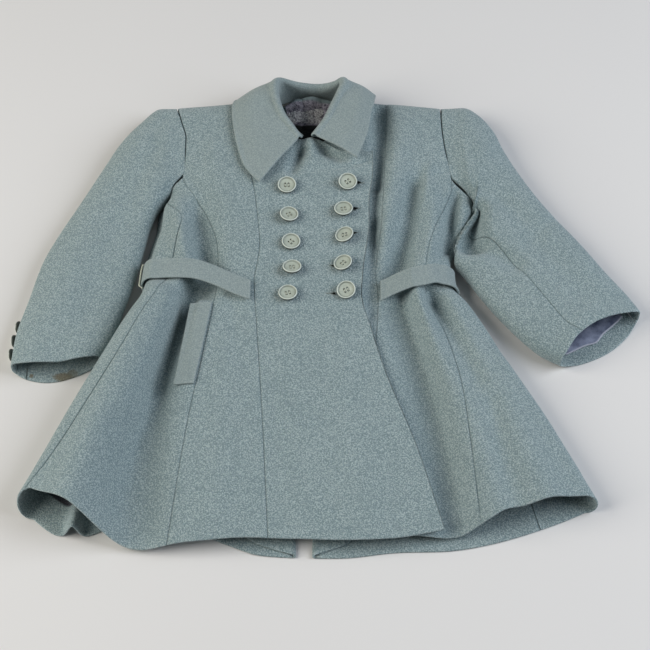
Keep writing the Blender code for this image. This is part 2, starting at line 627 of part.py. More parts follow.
def clear_height(x, y, half, layer):
    """The highest point of the front within half of y and a little of x."""
    shares = (-1.0, -0.6, -0.2, 0.2, 0.6, 1.0)
    return max(front_height(x + step, y + half * share, layer) for share in shares for step in (-5, 0, 5))


def taut_line(distances, heights):
    """The heights of a band drawn tight over these: straight between the points that it rests on."""
    kept = []
    for point in zip(distances, heights):
        while len(kept) > 1 and ((kept[-1][1] - kept[-2][1]) * (point[0] - kept[-2][0])
                                 <= (point[1] - kept[-2][1]) * (kept[-1][0] - kept[-2][0])):
            kept.pop()
        kept.append(point)
    tight = np.interp(distances, [point[0] for point in kept], [point[1] for point in kept])
    softened = np.convolve(np.pad(tight, 2, mode="edge"), np.ones(5) / 5.0, mode="valid")
    return Line(list(zip(distances, np.maximum(softened, heights))))


def half_belt(name, rows, side, layer, seam_x):
    """A half belt from the front seam, round the turned edge, to its sewn-down end underneath."""
    middle = Line([(row.x, row.y) for row in rows])
    out = -1.0 if side == "left" else 1.0
    lift = 1.5 * CLEAR + BELT_CLOTH
    edge_y = middle(edge_start(46.0, side)[0])
    seam_turned = turned_place(seam_x, edge_y, side)
    reach_x = abs(edge_start(edge_y, side)[0] - seam_x)
    steps = np.linspace(0.0, reach_x, 25)
    under_belt = [clear_height(seam_x + out * step, middle(seam_x + out * step), BELT_WIDTH / 2, layer)
                  for step in steps]
    tight = taut_line(steps, under_belt)

    def place(u, v):
        if u < 7.0 / 18.0:
            turned = mix(seam_turned, 0.0, u * 18.0 / 7.0)
        elif u < 16.0 / 18.0:
            turned = u * 2.0 - 7.0 / 9.0
        else:
            turned = mix(1.0, 2.2, u * 9.0 - 8.0)
        across = (v - 0.5) * BELT_WIDTH
        start, reach = edge_start(edge_y + across, side)
        middle_start = edge_start(edge_y, side)[0]
        if turned <= 0.0:
            x = middle_start + out * TURN_STEP * turned
            x += (start - middle_start) * smoothstep(1.0 - turned / seam_turned)
            along = out * (middle_start + out * TURN_STEP * turned - seam_x)
            return [x, middle(x) + across, tight(along) + lift]
        if turned >= 1.0:
            return [start - out * TURN_STEP * (turned - 1.0), edge_y + across, 0.0]
        top = tight(reach_x) + lift
        slope = front_height(start, edge_y, layer) - front_height(start - out, edge_y, layer)
        x, z = edge_curve(turned, start, out * (reach + lift + 0.6), top, 0.0, slope)
        return [x, edge_y + across, z]

    return cloth(name, 18, 3, place, BELT_CLOTH, way=out)


half_belt("half_belt_right", RIGHT_BELT, "left", "upper", -74.0)
half_belt("half_belt_left", LEFT_BELT, "right", "lower", 55.0)


def welt(u, v):
    """The pocket welt, against the right princess seam."""
    y = mix(-86.0, 10.0, v)
    right = RIGHT_PRINCESS(y) - 1.2
    x = mix(right - mix(20.0, 22.0, v), right, u)
    return [x, y, front_height(x, y, "upper")]


cloth("pocket_welt", 3, 7, welt, outer=CLEAR + CLOTH)


def sleeve_surface(rows, cuff, side, layer):
    """A function that gives a sleeve's outer side: around runs 0 to 1 from the sleeve's outer edge over the
    top and back underneath, and along counts the rings from the armhole."""
    line = {name: Line([(i, getattr(row, name)) for i, row in enumerate(rows)]) for name in rows[0]._fields}
    last = len(rows) - 1
    armhole = LAID_ARMHOLES[side]
    out = -1.0 if side == "left" else 1.0

    def at(along, name):
        value = line[name](along)
        if along > last:
            value += (along - last) * (line[name](last) - line[name](last - 0.01)) / 0.01
        return value

    def ends(along):
        return (np.array([at(along, "outer_x"), at(along, "outer_y")]),
                np.array([at(along, "inner_x"), at(along, "inner_y")]))

    def point(around, along):
        angle = 2.0 * math.pi * around
        share = 0.5 - 0.5 * math.cos(angle)
        outer, inner = ends(along)
        spot = mix(outer, inner, share)
        over = math.sin(angle)
        crown = at(along, "crown")
        # The head of the sleeve starts on the armhole.
        head = clamp(1.0 - along / 3.0) ** 2
        bow = armhole(spot[1]) + out * ARMHOLE_GAPS[side] - spot[0]
        spot = spot + np.array([bow * head * clamp(math.sin(math.pi * share) * 2.0), 0.0])
        rise = abs(over) ** (0.8 if over > 0 else 0.45)
        z = crown / 2 * (1.0 + math.copysign(min(1.0, rise * (1.0 if over > 0 else 1.12)), over))
        if over > 0.0 and along < 1.5:
            joined = front_height(spot[0], spot[1], layer)
            z = mix(mix(crown / 2, joined, clamp(rise * 1.6)), z, smoothstep(along / 1.5))
        # The cuff's end is cut on a slant.
        before = ends(last - 1.0)
        after = ends(last)
        run = (after[0] + after[1] - before[0] - before[1]) / 2.0
        run /= np.linalg.norm(run)
        end_share = clamp((along - last + 3.0) / 3.0) ** 2
        reach = mix(cuff.under, cuff.top, clamp(z / crown)) * math.sin(math.pi * share)
        spot = spot + run * reach * end_share
        return [spot[0], spot[1], z]

    return point, line["seam"], last


def sleeve(name, rows, cuff, side, layer, way):
    """The top sleeve and the under sleeve."""
    point, seam, last = sleeve_surface(rows, cuff, side, layer)

    # The seam's gap is wider where the sleeve bends sharply, near the armhole.
    def gap(v):
        return 0.0024 + 0.010 * math.exp(-(((v * last - 2.4) / 2.0) ** 2))

    def top(u, v):
        return point(mix(-0.07, seam(v * last) - gap(v), u), v * last)

    def under(u, v):
        return point(mix(seam(v * last) + gap(v), 0.927, u), v * last)

    cloth("top_" + name, 11, 14, top, way=way)
    cloth("under_" + name, 7, 14, under, way=way)


sleeve("sleeve_right", RIGHT_SLEEVE, RIGHT_CUFF, "left", "upper", -1.0)
sleeve("sleeve_left", LEFT_SLEEVE, LEFT_CUFF, "right", "lower", 1.0)


def collar_curves():
    """One smooth curve along the collar for each of its lines, each a list of x, y and z."""
    rows = [np.array(row.seam + row.roll + row.edge, float) for row in COLLAR]
    return [Line([(i, row[column]) for i, row in enumerate(rows)]) for column in range(9)]


COLLAR_LINES = collar_curves()
ACROSS_COLLAR = [0.0, 0.2, 0.29, 0.38, 0.7, 1.0]  # seam, foot of the roll, its top, past it, fall, edge


def collar(u, v):
    """The seen side of the collar: v runs from the neck seam up the stand and over the roll to the edge."""
    along = mix(0.0, len(COLLAR) - 1.0, u)
    values = np.array([line(along) for line in COLLAR_LINES])
    if u < 0.0 or u > 1.0:
        near = clamp(u, 0.01, 0.99) * (len(COLLAR) - 1.0)
        end = clamp(u) * (len(COLLAR) - 1.0)
        here = np.array([line(end) for line in COLLAR_LINES])
        slope = (here - np.array([line(near) for line in COLLAR_LINES])) / (end - near)
        values = here + slope * (along - end)
    seam, roll, edge = values[0:3], values[3:6], values[6:9]
    out = np.array([edge[0] - roll[0], edge[1] - roll[1], 0.0])
    out /= np.linalg.norm(out)
    drop = clamp((roll[2] - edge[2]) / 12.0, 0.35, 1.0) * 4.0
    foot = roll - np.array([0.0, 0.0, 4.5])
    past = roll + out * 6.4 - np.array([0.0, 0.0, drop])
    fall = mix(past, edge, 0.5) + np.array([0.0, 0.0, 2.5]) + out * 1.5
    knots = [seam, foot, roll + out * 2.6, past, fall, edge]
    here = np.array([Line([(k, knot[axis]) for k, knot in zip(ACROSS_COLLAR, knots)])(v)
                     for axis in range(3)])
    if v > 1.0:
        here = here + (edge - fall) * (v - 1.0) / 0.3
    if v < 0.0:
        here = here + (foot - seam) * v / 0.2
    if v > 0.34 and here[1] < SHOULDER_Y + SHOULDER(here[0]):
        layer = "upper" if here[0] < 49.0 else "lower"
        floor = front_height(here[0], here[1], layer) + COLLAR_CLOTH + CLEAR
        here[2] = max(here[2], floor)
    return here


cloth("collar", 30, 10, collar, COLLAR_CLOTH, way=-1.0)


def neck_lining(u, v):
    """The facing and lining that show inside the back of the neck."""
    x = mix(-41.0, 22.0, u)
    return [x, *back_middle(x, mix(212.0, NECKS["back"](x) - 3.0, v), 1.0)]


def neck_label(u, v):
    x = mix(-36.0, -6.0, u)
    return [x, *back_middle(x, mix(259.0, 278.0, v), 1.0)]


cloth("neck_lining", 6, 6, neck_lining, LINING_CLOTH, LINING, CLOTH / 2 + 2.2 + LINING_CLOTH)
cloth("neck_label", 3, 2, neck_label, LABEL_CLOTH, LABEL, CLOTH / 2 + 3.2 + LINING_CLOTH)


def cuff_lining(u, v):
    """The lining that shows inside the left cuff, on the lower side."""
    return left_sleeve(mix(0.61, 0.89, u), mix(len(LEFT_SLEEVE) - 3.4, len(LEFT_SLEEVE) - 1.5, v))


left_sleeve = sleeve_surface(LEFT_SLEEVE, LEFT_CUFF, "right", "lower")[0]
right_sleeve = sleeve_surface(RIGHT_SLEEVE, RIGHT_CUFF, "left", "upper")[0]
cloth("cuff_lining_left", 5, 3, cuff_lining, LINING_CLOTH, LINING, -CLOTH - 1.3)


def belt_carrier():
    """The thread loop over the right half belt, near the turned edge."""
    middle_y = RIGHT_BELT[-1].y
    curve = bpy.data.curves.new("belt_carrier", "CURVE")
    curve.dimensions = "3D"
    curve.bevel_depth = 0.8 * MM
    curve.bevel_resolution = 1
    curve.use_fill_caps = True
    spline = curve.splines.new("POLY")
    offsets = [-15.5, -14.0, -12.5, -8.0, 0.0, 8.0, 12.5, 14.0, 15.5]
    spline.points.add(len(offsets) - 1)
    for point, across in zip(spline.points, offsets):
        y = middle_y + across
        start, reach = edge_start(y, "left")
        over_belt = smoothstep((15.5 - abs(across)) / 3.0)
        lift = mix(1.8, 1.5 * CLEAR + BELT_CLOTH + 2.4, over_belt)
        top = mix(front_height(start, y, "upper"), clear_height(start, middle_y, 12.0, "upper"), over_belt)
        slope = front_height(start, y, "upper") - front_height(start + 1.0, y, "upper")
        x, z = edge_curve(0.42, start, -(reach + lift), top + lift, 0.0, slope)
        point.co = (x * MM, y * MM, z * MM, 1.0)
    made = bpy.data.objects.new("belt_carrier_path", curve)
    COAT.objects.link(made)
    mesh = bpy.data.meshes.new_from_object(made.evaluated_get(bpy.context.evaluated_depsgraph_get()))
    bpy.data.objects.remove(made)
    return add_part("belt_carrier", mesh, THREAD)


belt_carrier()


def button_mesh(name, across, thick, holes):
    """A turned button with a raised rim and a dished middle, and holes through it."""
    radius = across / 2.0 * MM
    profile = [(0.0, 0.0), (0.8, 0.0), (1.0, 0.35), (0.97, 0.85), (0.84, 1.0), (0.64, 0.62), (0.0, 0.58)]
    outline = bpy.data.meshes.new(name + "_outline")
    points = [(r * radius, 0.0, z * thick * MM) for r, z in profile]
    outline.from_pydata(points, [(i, i + 1) for i in range(len(points) - 1)], [])
    turned = bpy.data.objects.new(name + "_turned", outline)
    COAT.objects.link(turned)
    screw = turned.modifiers.new("turned", "SCREW")
    screw.steps = screw.render_steps = 16
    screw.use_merge_vertices = True
    screw.merge_threshold = 1e-5
    if holes:
        cut = bmesh.new()
        for corner in range(4):
            angle = math.pi / 4 + corner * math.pi / 2
            spot = (math.cos(angle) * 0.26 * radius, math.sin(angle) * 0.26 * radius, thick * MM / 2)
            made = bmesh.ops.create_cone(cut, cap_ends=True, segments=6, radius1=0.095 * radius,
                                         radius2=0.095 * radius, depth=thick * MM * 2)
            bmesh.ops.translate(cut, verts=made["verts"], vec=spot)
        cutter_mesh = bpy.data.meshes.new(name + "_holes")
        cut.to_mesh(cutter_mesh)
        cut.free()
        cutter = bpy.data.objects.new(name + "_holes", cutter_mesh)
        CUTTERS.objects.link(cutter)
        cutter.hide_render = True
        cutter.display_type = "WIRE"
        drilled = turned.modifiers.new("holes", "BOOLEAN")
        drilled.operation = "DIFFERENCE"
        drilled.solver = "EXACT"
        drilled.object = cutter
    depsgraph = bpy.context.evaluated_depsgraph_get()
    made = bpy.data.meshes.new_from_object(turned.evaluated_get(depsgraph))
    bpy.data.objects.remove(turned)
    faces = bmesh.new()
    faces.from_mesh(made)
    face_outward(faces)
    faces.to_mesh(made)
    faces.free()
    return made


def surface_normal(place, x, y):
    along_x = np.array(place(x + 3.0, y)) - np.array(place(x - 3.0, y))
    along_y = np.array(place(x, y + 3.0)) - np.array(place(x, y - 3.0))
    normal = np.cross(along_x, along_y)
    return normal / np.linalg.norm(normal)


def sit_button(name, mesh, spot, normal, turn, across, surface=None, clear=CLEAR):
    """Puts a button on the cloth, high enough that its underside is clear all round."""
    normal = Vector(normal)
    tilt = Vector((0.0, 0.0, 1.0)).rotation_difference(normal).to_matrix().to_4x4()
    rise = 0.0
    if surface:
        for step in range(12):
            angle = step * math.pi / 6.0
            rim = tilt @ Vector((math.cos(angle) * across * 0.46, math.sin(angle) * across * 0.46, 0.0))
            above = surface(spot[0] + rim.x, spot[1] + rim.y)[2] - spot[2] - rim.z
            rise = max(rise, above * normal.z)
    place = Vector(spot) + normal * (rise + clear)
    move = Matrix.Translation(place * MM) @ tilt @ Matrix.Rotation(turn, 4, "Z")
    made = mesh.copy()
    made.transform(move)
    return add_part(name, made, BUTTON)


def upper_surface(x, y):
    return [x, y, front_height(x, y, "upper")]


front_button = button_mesh("front_button", BUTTON_ACROSS, BUTTON_THICK, True)
for number, button in enumerate(FRONT_BUTTONS):
    name = f"button_{'right' if number < 5 else 'left'}_{number % 5 + 1}"
    normal = surface_normal(upper_surface, button.x, button.y)
    sit_button(name, front_button, upper_surface(button.x, button.y), normal, 0.35 * number, BUTTON_ACROSS,
               upper_surface)

cuff_button = button_mesh("cuff_button", CUFF_BUTTON_ACROSS, 3.2, False)
for number, ring in enumerate(CUFF_BUTTON_PLACES):

    def sleeve_edge(around, along):
        return right_sleeve(-0.02 + around / 2000.0, ring + along / 30.0)

    normal = -surface_normal(sleeve_edge, 0.0, 0.0)
    spot = np.array(sleeve_edge(0.0, 0.0))
    sit_button(f"cuff_button_{number + 1}", cuff_button, spot, normal, 0.3 * number, CUFF_BUTTON_ACROSS,
               clear=0.7)

# The frame's origin is under the middle of the whole coat.
ROOT.location = (-MIDDLE[0] * MM, -MIDDLE[1] * MM, 0.0)
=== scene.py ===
"""A child's double-breasted coat of wool crepe, laid on its back on a pale table.

Sizes in the tables are millimetres, with the collar towards +Y and the wearer's right side at -X, and are
moved by MIDDLE into the frame of the solids, which is in metres.
"""
import math
from collections import namedtuple

import bmesh
import bpy
import numpy as np
from mathutils import Matrix, Vector


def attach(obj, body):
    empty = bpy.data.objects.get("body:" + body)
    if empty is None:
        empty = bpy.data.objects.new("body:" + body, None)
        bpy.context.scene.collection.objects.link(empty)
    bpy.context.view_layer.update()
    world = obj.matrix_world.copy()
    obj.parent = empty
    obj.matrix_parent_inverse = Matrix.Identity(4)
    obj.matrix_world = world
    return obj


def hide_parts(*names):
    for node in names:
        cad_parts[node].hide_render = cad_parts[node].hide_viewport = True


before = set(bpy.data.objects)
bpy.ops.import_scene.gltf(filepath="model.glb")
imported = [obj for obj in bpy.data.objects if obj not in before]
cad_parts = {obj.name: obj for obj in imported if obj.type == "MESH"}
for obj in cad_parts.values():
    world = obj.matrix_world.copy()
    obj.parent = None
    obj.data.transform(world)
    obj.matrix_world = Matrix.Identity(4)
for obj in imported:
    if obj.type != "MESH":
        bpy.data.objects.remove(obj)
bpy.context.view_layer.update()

# The camera and the light: it looks down at the coat from beyond its hem, 2.2 m away, with one millimetre
# to a pixel at the table. A warm soft light stands at the left of the view, a cooler one at its right.
def put(name, data):
    """A new object in the scene."""
    made = bpy.data.objects.new(name, data)
    bpy.context.collection.objects.link(made)
    return made


camera_data = bpy.data.cameras.new("camera")
camera = put("camera", camera_data)
bpy.context.scene.camera = camera
CAMERA_DISTANCE = 2.2
CAMERA_ELEVATION = math.radians(55.0)
camera_data.sensor_width = 36.0
camera_data.lens = 36.0 * CAMERA_DISTANCE / 0.650
seen_middle = Vector((-0.0023, -0.0191, 0.0))
toward_camera = Vector((0.0, -math.cos(CAMERA_ELEVATION), math.sin(CAMERA_ELEVATION)))
camera.location = seen_middle + CAMERA_DISTANCE * toward_camera
camera.rotation_euler = (math.pi / 2 - CAMERA_ELEVATION, 0.0, 0.0)

LightPlace = namedtuple("LightPlace", "name place size power colour")
LIGHTS = [
    LightPlace("warm_light", (-2.1, -0.35, 1.45), 2.0, 62.0, (1.0, 0.965, 0.885)),
    LightPlace("cool_light", (2.1, -0.05, 1.5), 2.0, 59.0, (0.875, 0.925, 1.0)),
]
for light in LIGHTS:
    lamp = bpy.data.lights.new(light.name, "AREA")
    lamp.energy, lamp.color, lamp.size = light.power, light.colour, light.size
    stand = put(light.name, lamp)
    stand.location = light.place
    stand.rotation_euler = (seen_middle - stand.location).to_track_quat("-Z", "Y").to_euler()

room = bpy.data.worlds.new("room")
bpy.context.scene.world = room
room.use_nodes = True
room.node_tree.nodes["Background"].inputs["Color"].default_value = (0.80, 0.82, 0.86, 1.0)
room.node_tree.nodes["Background"].inputs["Strength"].default_value = 0.11
bpy.context.scene.view_settings.view_transform = "Standard"


# The table top: smooth painted board, with a very faint mottle. It isn't part of the coat.
class Tint:
    """One output of a finish's nodes. Python's signs on it add Math nodes."""

    def __init__(self, finish, socket):
        self.finish, self.socket = finish, socket

    def maths(self, operation, *values):
        return self.finish.node("ShaderNodeMath", {"operation": operation}, dict(enumerate(values)))

    def __add__(self, other):
        return self.maths("ADD", self, other)

    def __sub__(self, other):
        return self.maths("SUBTRACT", self, other)

    def __rsub__(self, other):
        return self.maths("SUBTRACT", other, self)

    def __mul__(self, other):
        return self.maths("MULTIPLY", self, other)

    def __truediv__(self, other):
        return self.maths("DIVIDE", self, other)

    def __pow__(self, other):
        return self.maths("POWER", self, other)

    def __neg__(self):
        return self.maths("MULTIPLY", self, -1.0)

    __radd__, __rmul__ = __add__, __mul__

    def least(self, other):
        return self.maths("MINIMUM", self, other)

    def most(self, other):
        return self.maths("MAXIMUM", self, other)

    def between(self, low, high):
        """0 under low, 1 over high, and smooth between."""
        return self.finish.node("ShaderNodeMapRange", {"interpolation_type": "SMOOTHSTEP"},
                                {"Value": self, "From Min": low, "From Max": high})


class Finish:
    """A material and its nodes."""

    def __init__(self, name, **constants):
        self.material = bpy.data.materials.new(name)
        self.material.use_nodes = True
        self.tree = self.material.node_tree
        self.shader = self.tree.nodes["Principled BSDF"]
        for socket, value in constants.items():
            self.shader.inputs[socket.replace("_", " ")].default_value = value

    def node(self, kind, settings, inputs, output=0):
        made = self.tree.nodes.new(kind)
        for setting, value in settings.items():
            if setting == "stops":
                ramp = made.color_ramp
                while len(ramp.elements) < len(value):
                    ramp.elements.new(0.5)
                for element, (position, colour) in zip(ramp.elements, value):
                    element.position, element.color = position, (*colour, 1.0)
            else:
                setattr(made, setting, value)
        for socket, value in inputs.items():
            if isinstance(value, Tint):
                self.tree.links.new(value.socket, made.inputs[socket])
            else:
                made.inputs[socket].default_value = value
        return Tint(self, made.outputs[output])

    def where(self):
        return self.node("ShaderNodeTexCoord", {}, {}, "Object")

    def noise(self, size, detail=2.0, roughness=0.5, place=None, output=0):
        """Noise whose grains are about size metres across."""
        return self.node("ShaderNodeTexNoise", {}, {"Vector": place or self.where(), "Scale": 1.0 / size,
                                                    "Detail": detail, "Roughness": roughness}, output)

    def painted(self, name):
        """A number kept on the mesh's points."""
        return self.node("ShaderNodeAttribute", {"attribute_name": name}, {}, "Fac")

    def blend(self, first, second, share, way="MIX"):
        colours = [value if isinstance(value, Tint) else (*value, 1.0) for value in (first, second)]
        return self.node("ShaderNodeMix", {"data_type": "RGBA", "blend_type": way},
                         {0: share, 6: colours[0], 7: colours[1]}, 2)

    def give(self, socket, value):
        self.tree.links.new(value.socket, self.shader.inputs[socket])

    def raise_by(self, height, distance, strength=1.0):
        self.give("Normal", self.node("ShaderNodeBump", {}, {"Height": height, "Distance": distance,
                                                              "Strength": strength}))


board = Finish("painted_board", Roughness=0.55)
board.give("Base Color", board.blend((0.735, 0.725, 0.718), (0.760, 0.752, 0.745), board.noise(0.35, 1.0)))
table_mesh = bpy.data.meshes.new("table_top")
table_shape = bmesh.new()
bmesh.ops.create_grid(table_shape, x_segments=8, y_segments=8, size=6.0)
table_shape.to_mesh(table_mesh)
table_shape.free()
table_mesh.materials.append(board.material)
table_top = put("table_top", table_mesh)

# The front on the wearer's right that laps over: wool crepe over a firm interlining, cut on its edge in a
# slow curve to the hem. The rings give the lie of the whole body, and the folds run down from the waist.
MM = 0.001
MIDDLE = (2.3, 19.1)
CREPE_THICK = 2.0
CENTRE_X = -7.0
SHOULDER_Y, SHOULDER_Z = 262.0, 13.4
HEM_Y = -256.0
UNDERLAP_DROP = 4.0
SEAM_SHARE = 0.03  # half the gap between two edges that are sewn together
HEM_TURNING = 30.0

BodyRing = namedtuple("BodyRing", "y left_x right_x left_edge right_edge crown")
BODY_RINGS = [
    BodyRing(262, -172, 142, 26, 26, 31),
    BodyRing(200, -168, 142, 26, 26, 34),
    BodyRing(165, -162, 147, 23, 24, 34),
    BodyRing(150, -160, 153, 22, 22, 34),
    BodyRing(132, -166, 151, 20, 21, 33),
    BodyRing(112, -167, 143, 22, 21, 31),
    BodyRing(92, -172, 136, 22, 21, 30),
    BodyRing(72, -176, 128, 23, 22, 29),
    BodyRing(52, -179, 127, 23, 23, 28),
    BodyRing(32, -181, 130, 24, 24, 27),
    BodyRing(12, -186, 145, 26, 25, 26),
    BodyRing(0, -193, 152, 27, 25, 25),
    BodyRing(-60, -219, 179, 30, 26, 23),
    BodyRing(-130, -246, 211, 32, 27, 21),
    BodyRing(-200, -270, 237, 34, 28, 20),
    BodyRing(-256, -289, 257, 35, 28, 19),
]
ROWS = [
    -256, -220, -184, -148, -112, -76, -42, -12, 12, 32, 52, 72, 92, 112, 132, 150, 165, 186, 210, 236, 262,
]
SeamRow = namedtuple("SeamRow", "y x")
RIGHT_FRONT_SEAM = [
    SeamRow(262, -84), SeamRow(180, -78), SeamRow(132, -71), SeamRow(76, -66), SeamRow(34, -71),
    SeamRow(-10, -68), SeamRow(-96, -62), SeamRow(-256, -53),
]
OVERLAP_EDGE = [
    SeamRow(262, 50), SeamRow(204, 50), SeamRow(151, 46), SeamRow(99, 45), SeamRow(51, 39),
    SeamRow(20, 37), SeamRow(-21, 46), SeamRow(-67, 58), SeamRow(-150, 85), SeamRow(-256, 112),
]
HemRow = namedtuple("HemRow", "across back_by")
UPPER_HEM = [
    HemRow(-1.0, 52), HemRow(-0.91, 38), HemRow(-0.83, 26), HemRow(-0.75, 13), HemRow(-0.67, 2),
    HemRow(-0.58, -4), HemRow(-0.4, -1), HemRow(-0.22, 3), HemRow(0.1, 0), HemRow(0.3, 3), HemRow(0.45, 11),
]
LOWER_HEM = [
    HemRow(-0.45, 6), HemRow(0.3, 7), HemRow(0.5, 9), HemRow(0.56, 14), HemRow(0.62, 20), HemRow(0.68, 28),
    HemRow(0.75, 31), HemRow(0.86, 38), HemRow(1.0, 45),
]
BACK_HEM = [
    HemRow(-1.0, 52), HemRow(-0.96, 36), HemRow(-0.91, 22), HemRow(-0.86, 14), HemRow(-0.78, 13),
    HemRow(-0.66, 24), HemRow(-0.4, 16), HemRow(-0.28, 2), HemRow(-0.19, -7), HemRow(0.07, -10),
    HemRow(0.28, -4), HemRow(0.48, -2), HemRow(0.6, 4), HemRow(0.79, 20), HemRow(0.9, 32), HemRow(1.0, 45),
]
ShoulderRow = namedtuple("ShoulderRow", "x over")
SHOULDER_LINE = [
    ShoulderRow(-160, 7), ShoulderRow(-120, 10), ShoulderRow(-84, 14), ShoulderRow(-64, 16),
    ShoulderRow(46, 16), ShoulderRow(66, 14), ShoulderRow(95, 11), ShoulderRow(124, 8),
]
NeckRow = namedtuple("NeckRow", "x y")
UPPER_NECK = [
    NeckRow(-84, 276), NeckRow(-70, 274), NeckRow(-61, 258), NeckRow(-42, 228), NeckRow(-24, 213),
    NeckRow(-9, 213), NeckRow(2, 208), NeckRow(16, 199), NeckRow(34, 196), NeckRow(50, 198),
]
LOWER_NECK = [
    NeckRow(-62, 200), NeckRow(-30, 204), NeckRow(-9, 208), NeckRow(6, 221), NeckRow(20, 238),
    NeckRow(32, 252), NeckRow(42, 266), NeckRow(50, 275), NeckRow(66, 276),
]
BACK_NECK = [
    NeckRow(-160, 269), NeckRow(-120, 272), NeckRow(-84, 276), NeckRow(-66, 277), NeckRow(-54, 279),
    NeckRow(-40, 284), NeckRow(-20, 288), NeckRow(-7, 289), NeckRow(6, 288), NeckRow(24, 284),
    NeckRow(38, 279), NeckRow(50, 277), NeckRow(66, 276), NeckRow(95, 273), NeckRow(124, 270),
]
Fold = namedtuple("Fold", "name x0 y0 x1 y1 bow width0 width1 rise0 rise1")
UPPER_FOLDS = [
    Fold("skirt side ridge", -168, 15, -248, -270, 4, 20, 34, 15, 28),
    Fold("skirt side trough", -140, 12, -178, -275, 10, 9, 30, -13, -16),
    Fold("bodice side ridge", -152, 132, -141, 40, -6, 11, 15, 6, 9),
    Fold("bodice side trough", -124, 112, -122, 36, -5, 10, 13, -8, -14),
    Fold("pocket hollow", -120, 30, -114, -10, 0, 14, 14, -5, 0),
    Fold("breast fullness", -105, 190, -88, 90, 0, 24, 26, 2, 3),
]
LOWER_FOLDS = [
    Fold("shadow by the overlap", 57, 262, 53, 160, -3, 10, 8, -12, -8),
    Fold("hollow at the waist edge", 47, 110, 46, 0, 0, 8, 8, -6, -5),
    Fold("breast ridge", 74, 200, 62, 95, 0, 13, 13, 3, 6),
    Fold("bodice trough", 92, 158, 70, 42, -6, 8, 13, -6, -14),
    Fold("bodice ridge", 110, 150, 96, 40, -6, 10, 13, 3, 8),
    Fold("side trough", 126, 138, 124, 78, 0, 8, 10, -6, -9),
    Fold("skirt first trough", 72, 6, 121, -272, -8, 15, 22, -11, -9),
    Fold("skirt ridge", 92, 20, 172, -262, -5, 11, 26, 8, 15),
    Fold("skirt second trough", 108, 14, 158, -118, 5, 9, 16, -9, 0),
    Fold("skirt side ridge", 124, 8, 226, -268, 0, 15, 34, 6, 15),
]
BACK_FOLDS = [Fold("standing fold at the hem", -238, -262, -222, -130, 0, 5.5, 9, 23, 0)]


def smoothstep(value):
    t = np.clip(value, 0.0, 1.0)
    return t * t * (3.0 - 2.0 * t)


def mix(a, b, share):
    return a + (b - a) * share


class Line:
    """A smooth curve through (key, value) pairs, held at its ends."""

    def __init__(self, pairs):
        pairs = sorted(pairs, key=lambda pair: pair[0])
        self.keys = np.array([pair[0] for pair in pairs], float)
        self.values = np.array([pair[1] for pair in pairs], float)
        rises = np.diff(self.values) / np.diff(self.keys)
        slopes = np.gradient(self.values, self.keys)
        # A slope is held down where the curve would swing past its own points.
        least = np.minimum(abs(np.append(rises, rises[-1])), abs(np.insert(rises, 0, rises[0])))
        turns = np.append(rises, rises[-1]) * np.insert(rises, 0, rises[0]) <= 0.0
        self.slopes = np.where(turns, 0.0, np.sign(slopes) * np.minimum(abs(slopes), 3.0 * least))

    def __call__(self, key):
        key = np.clip(key, self.keys[0], self.keys[-1])
        i = np.clip(np.searchsorted(self.keys, key) - 1, 0, len(self.keys) - 2)
        span = self.keys[i + 1] - self.keys[i]
        t = (key - self.keys[i]) / span
        value = self.values[i] * (1 + 2 * t) * (1 - t) ** 2 + self.values[i + 1] * t * t * (3 - 2 * t)
        return value + span * (self.slopes[i] * t * (1 - t) ** 2 + self.slopes[i + 1] * t * t * (t - 1))


RING = {name: Line([(row.y, getattr(row, name)) for row in BODY_RINGS]) for name in BodyRing._fields[1:]}
RIGHT_FRONT = Line([(row.y, row.x) for row in RIGHT_FRONT_SEAM])
OVERLAP = Line([(row.y, row.x) for row in OVERLAP_EDGE])
HEMS = {"upper": Line(UPPER_HEM), "lower": Line(LOWER_HEM), "back": Line(BACK_HEM)}
NECKS = {"upper": Line(UPPER_NECK), "lower": Line(LOWER_NECK), "back": Line(BACK_NECK)}
SHOULDER = Line(SHOULDER_LINE)


def raised(ring_y, top_y):
    """How far up a ring's point goes so that its column ends at top_y."""
    return np.clip((ring_y - 92.0) / (SHOULDER_Y - 92.0), 0.0, 1.0) ** 1.5 * (top_y - SHOULDER_Y)


def across_body(x, ring_y):
    """Where x lies across a ring: -1 and 1 at its turned edges."""
    side = np.where(x < CENTRE_X, RING["left_x"](ring_y), RING["right_x"](ring_y))
    return np.clip((x - CENTRE_X) / abs(side - CENTRE_X), -1.0, 1.0)


def folded(folds, x, y):
    """The sum of a table's folds at each place."""
    total = np.zeros(np.broadcast(x, y).shape)
    for fold in folds:
        run_x, run_y = fold.x1 - fold.x0, fold.y1 - fold.y0
        length = math.hypot(run_x, run_y)
        t = ((x - fold.x0) * run_x + (y - fold.y0) * run_y) / length**2
        inside = np.clip(t, 0.0, 1.0)
        across = ((x - fold.x0) * run_y - (y - fold.y0) * run_x) / length
        across = across - fold.bow * 4.0 * inside * (1.0 - inside)
        past = (t - inside) * length
        width = mix(fold.width0, fold.width1, inside)
        total += mix(fold.rise0, fold.rise1, inside) * np.exp(-(across**2 + past**2) / width**2)
    return total


def quarter_turn(share):
    """0 to 1 along the side of a rounded shoulder, upright where it starts."""
    t = np.minimum(abs(share), 1.0)
    return np.copysign(np.sqrt(t * (2.0 - t)), share)


def back_height(x, y):
    """How far the back's outer side stands off the table: over the belt ends, and up to the shoulders."""
    out = abs(x - CENTRE_X)
    height = 3.2 * smoothstep((36.0 - abs(y - 46.0)) / 20.0) * smoothstep((out - 68.0) / 25.0)
    height = height + 4.0 * smoothstep((y - 262.0) / 26.0)
    return height + np.maximum(folded(BACK_FOLDS, x, y), 0.0)


